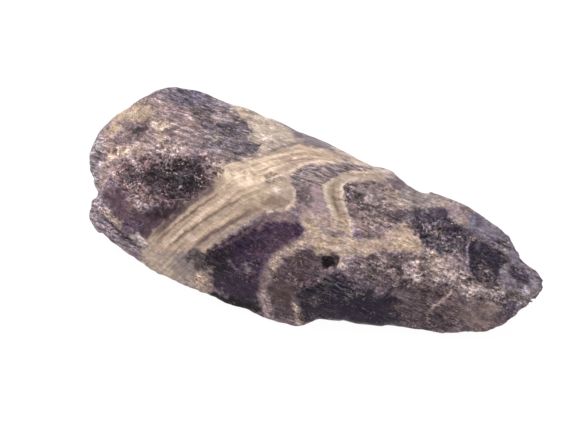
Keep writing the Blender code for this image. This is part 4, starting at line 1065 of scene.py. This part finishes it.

    # Warm and cool stains in the stone, then painted glints, finer painted glints and pale slivers
    # on it.
    for hex_colour, blend, share in (
            ("#f1dacc", "MULTIPLY", "warmth"),
            ("#c2b3d0", "MULTIPLY", "coolness"),
            ("#f5e0dc", "MIX", "painted glints"),
            ("#d9c0c8", "MIX", "fine painted glints"),
            ("#cdbfd6", "MIX", "pale slivers")):
        colour = node(tree, "ShaderNodeMix", {
            "data_type": "RGBA", "blend_type": blend, 0: product[share], 6: colour,
            7: (*linear(hex_colour), 1)})[2]

    # Grain too fine for the mesh, from chips, facets, mottles and strokes.
    chipped = node(tree, "ShaderNodeMath", {"operation": "ADD", 0: chip, 1: facet})[0]
    half_hackle = node(tree, "ShaderNodeMath", {"operation": "MULTIPLY", 0: hackle, 1: 0.5})[0]
    clouded = node(
        tree, "ShaderNodeMath", {"operation": "ADD", 0: cloud["mottle"], 1: product["grain"]})[0]
    height = node(tree, "ShaderNodeMath", {"operation": "MULTIPLY", 0: clouded, 1: 0.9})[0]
    height = node(tree, "ShaderNodeMath", {
        "operation": "MULTIPLY_ADD", 0: chipped, 1: half_hackle, 2: height})[0]
    bump = node(tree, "ShaderNodeBump", {
        "Strength": GRAIN_SHARE, "Distance": GRAIN_HEIGHT * MM, "Height": height})[0]
    # Each broken crystal face lies its own way, so only some of them mirror the lamp.
    lean = node(tree, "ShaderNodeVectorMath", {
        "operation": "SUBTRACT", 0: flakes["chips"], 1: (0.5, 0.5, 0.5)})[0]
    leaning = node(tree, "ShaderNodeVectorMath", {
        "operation": "SCALE", 0: lean, "Scale": CRYSTAL_LEAN})[0]
    tilted = node(tree, "ShaderNodeVectorMath", {"operation": "ADD", 0: leaning, 1: bump})[0]
    mirror = node(tree, "ShaderNodeVectorMath", {"operation": "NORMALIZE", 0: tilted})[0]
    roughness = node(tree, "ShaderNodeMath", {
        "operation": "ADD", "use_clamp": True, 0: rough, 1: count["uneven"]})[0]
    surface = node(tree, "ShaderNodeBsdfPrincipled", {
        "Base Color": colour, "Roughness": roughness, "Normal": bump, "IOR": QUARTZ_IOR,
        "Specular IOR Level": BREAK_MIRROR, "Coat Weight": count["shiny"],
        "Coat IOR": QUARTZ_IOR, "Coat Roughness": FLAKE_ROUGHNESS, "Coat Normal": mirror})[0]
    node(tree, "ShaderNodeOutputMaterial", {"Surface": surface})
    return material


stone.data.materials.clear()
stone.data.materials.append(banded_quartz())
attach(stone, "root")
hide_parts("amethyst")

# The white floor.
# A sheet of white card that lies flat under the stone and runs far past the view. It is only
# there to catch the light: it belongs to the studio and not to the stone.
CARD_SIZE = 6.0
CARD_SHADE = "#404040"
CARD_ROUGHNESS = 0.9
# It glows almost white, so that it comes out as clean paper with a faint shadow on it.
CARD_GLOW = 0.97

card_mesh = bpy.data.meshes.new("white_card")
half = CARD_SIZE / 2
corners = [(-half, -half, 0), (half, -half, 0), (half, half, 0), (-half, half, 0)]
card_mesh.from_pydata(corners, [], [(0, 1, 2, 3)])
card = bpy.data.objects.new("white_card", card_mesh)
bpy.context.scene.collection.objects.link(card)
# Matt card: even and white, with no mirror to speak of.
card_material = bpy.data.materials.new("white card, matt")
card_material.use_nodes = True
card_surface = card_material.node_tree.nodes["Principled BSDF"]
card_surface.inputs["Base Color"].default_value = (*linear(CARD_SHADE), 1)
card_surface.inputs["Roughness"].default_value = CARD_ROUGHNESS
card_surface.inputs["Emission Color"].default_value = (1, 1, 1, 1)
card_surface.inputs["Emission Strength"].default_value = CARD_GLOW
card_mesh.materials.append(card_material)

# The studio.
# Even white light from all round, as in a light tent, with a large soft lamp above and behind
# the stone and a small bright one for its glints. The camera has a long lens and looks squarely
# at the leaning plane.
TENT_LIGHT = 0.44
# Square lamps that look at the spot under the stone's middle: place and side in metres, and
# power in watts.
LAMPS = {
    "soft lamp": (Vector((-0.32, 0.08, 0.47)), 0.35, 2.3),
    "bright lamp": (Vector((-0.10, 0.02, 0.60)), 0.04, 0.7),
}
# The lens and the width of the film in mm, and the nearest and farthest it sees in metres.
LENS = 200.0
FILM_WIDTH = 36.0
NEAREST = 0.01
FARTHEST = 50.0

scene = bpy.context.scene
scene.view_settings.view_transform = "Standard"
tent = bpy.data.worlds.new("light tent")
scene.world = tent
tent.use_nodes = True
tent.node_tree.nodes["Background"].inputs["Color"].default_value = (1, 1, 1, 1)
tent.node_tree.nodes["Background"].inputs["Strength"].default_value = TENT_LIGHT

for name, (place, side, power) in LAMPS.items():
    light = bpy.data.lights.new(name, "AREA")
    light.size = side
    light.energy = power
    lamp = bpy.data.objects.new(name, light)
    lamp.location = place
    lamp.rotation_euler = (-place).to_track_quat("-Z", "Y").to_euler()
    scene.collection.objects.link(lamp)

eye = bpy.data.cameras.new("camera")
eye.lens = LENS
eye.sensor_width = FILM_WIDTH
eye.clip_start = NEAREST
eye.clip_end = FARTHEST
camera = bpy.data.objects.new("camera", eye)
scene.collection.objects.link(camera)
turned = Matrix(plane_axes()).transposed().to_4x4()
place = (PLANE_CENTRE + plane_axes()[2] * VIEW_DISTANCE) * MM
camera.matrix_world = Matrix.Translation(place) @ turned
scene.camera = camera
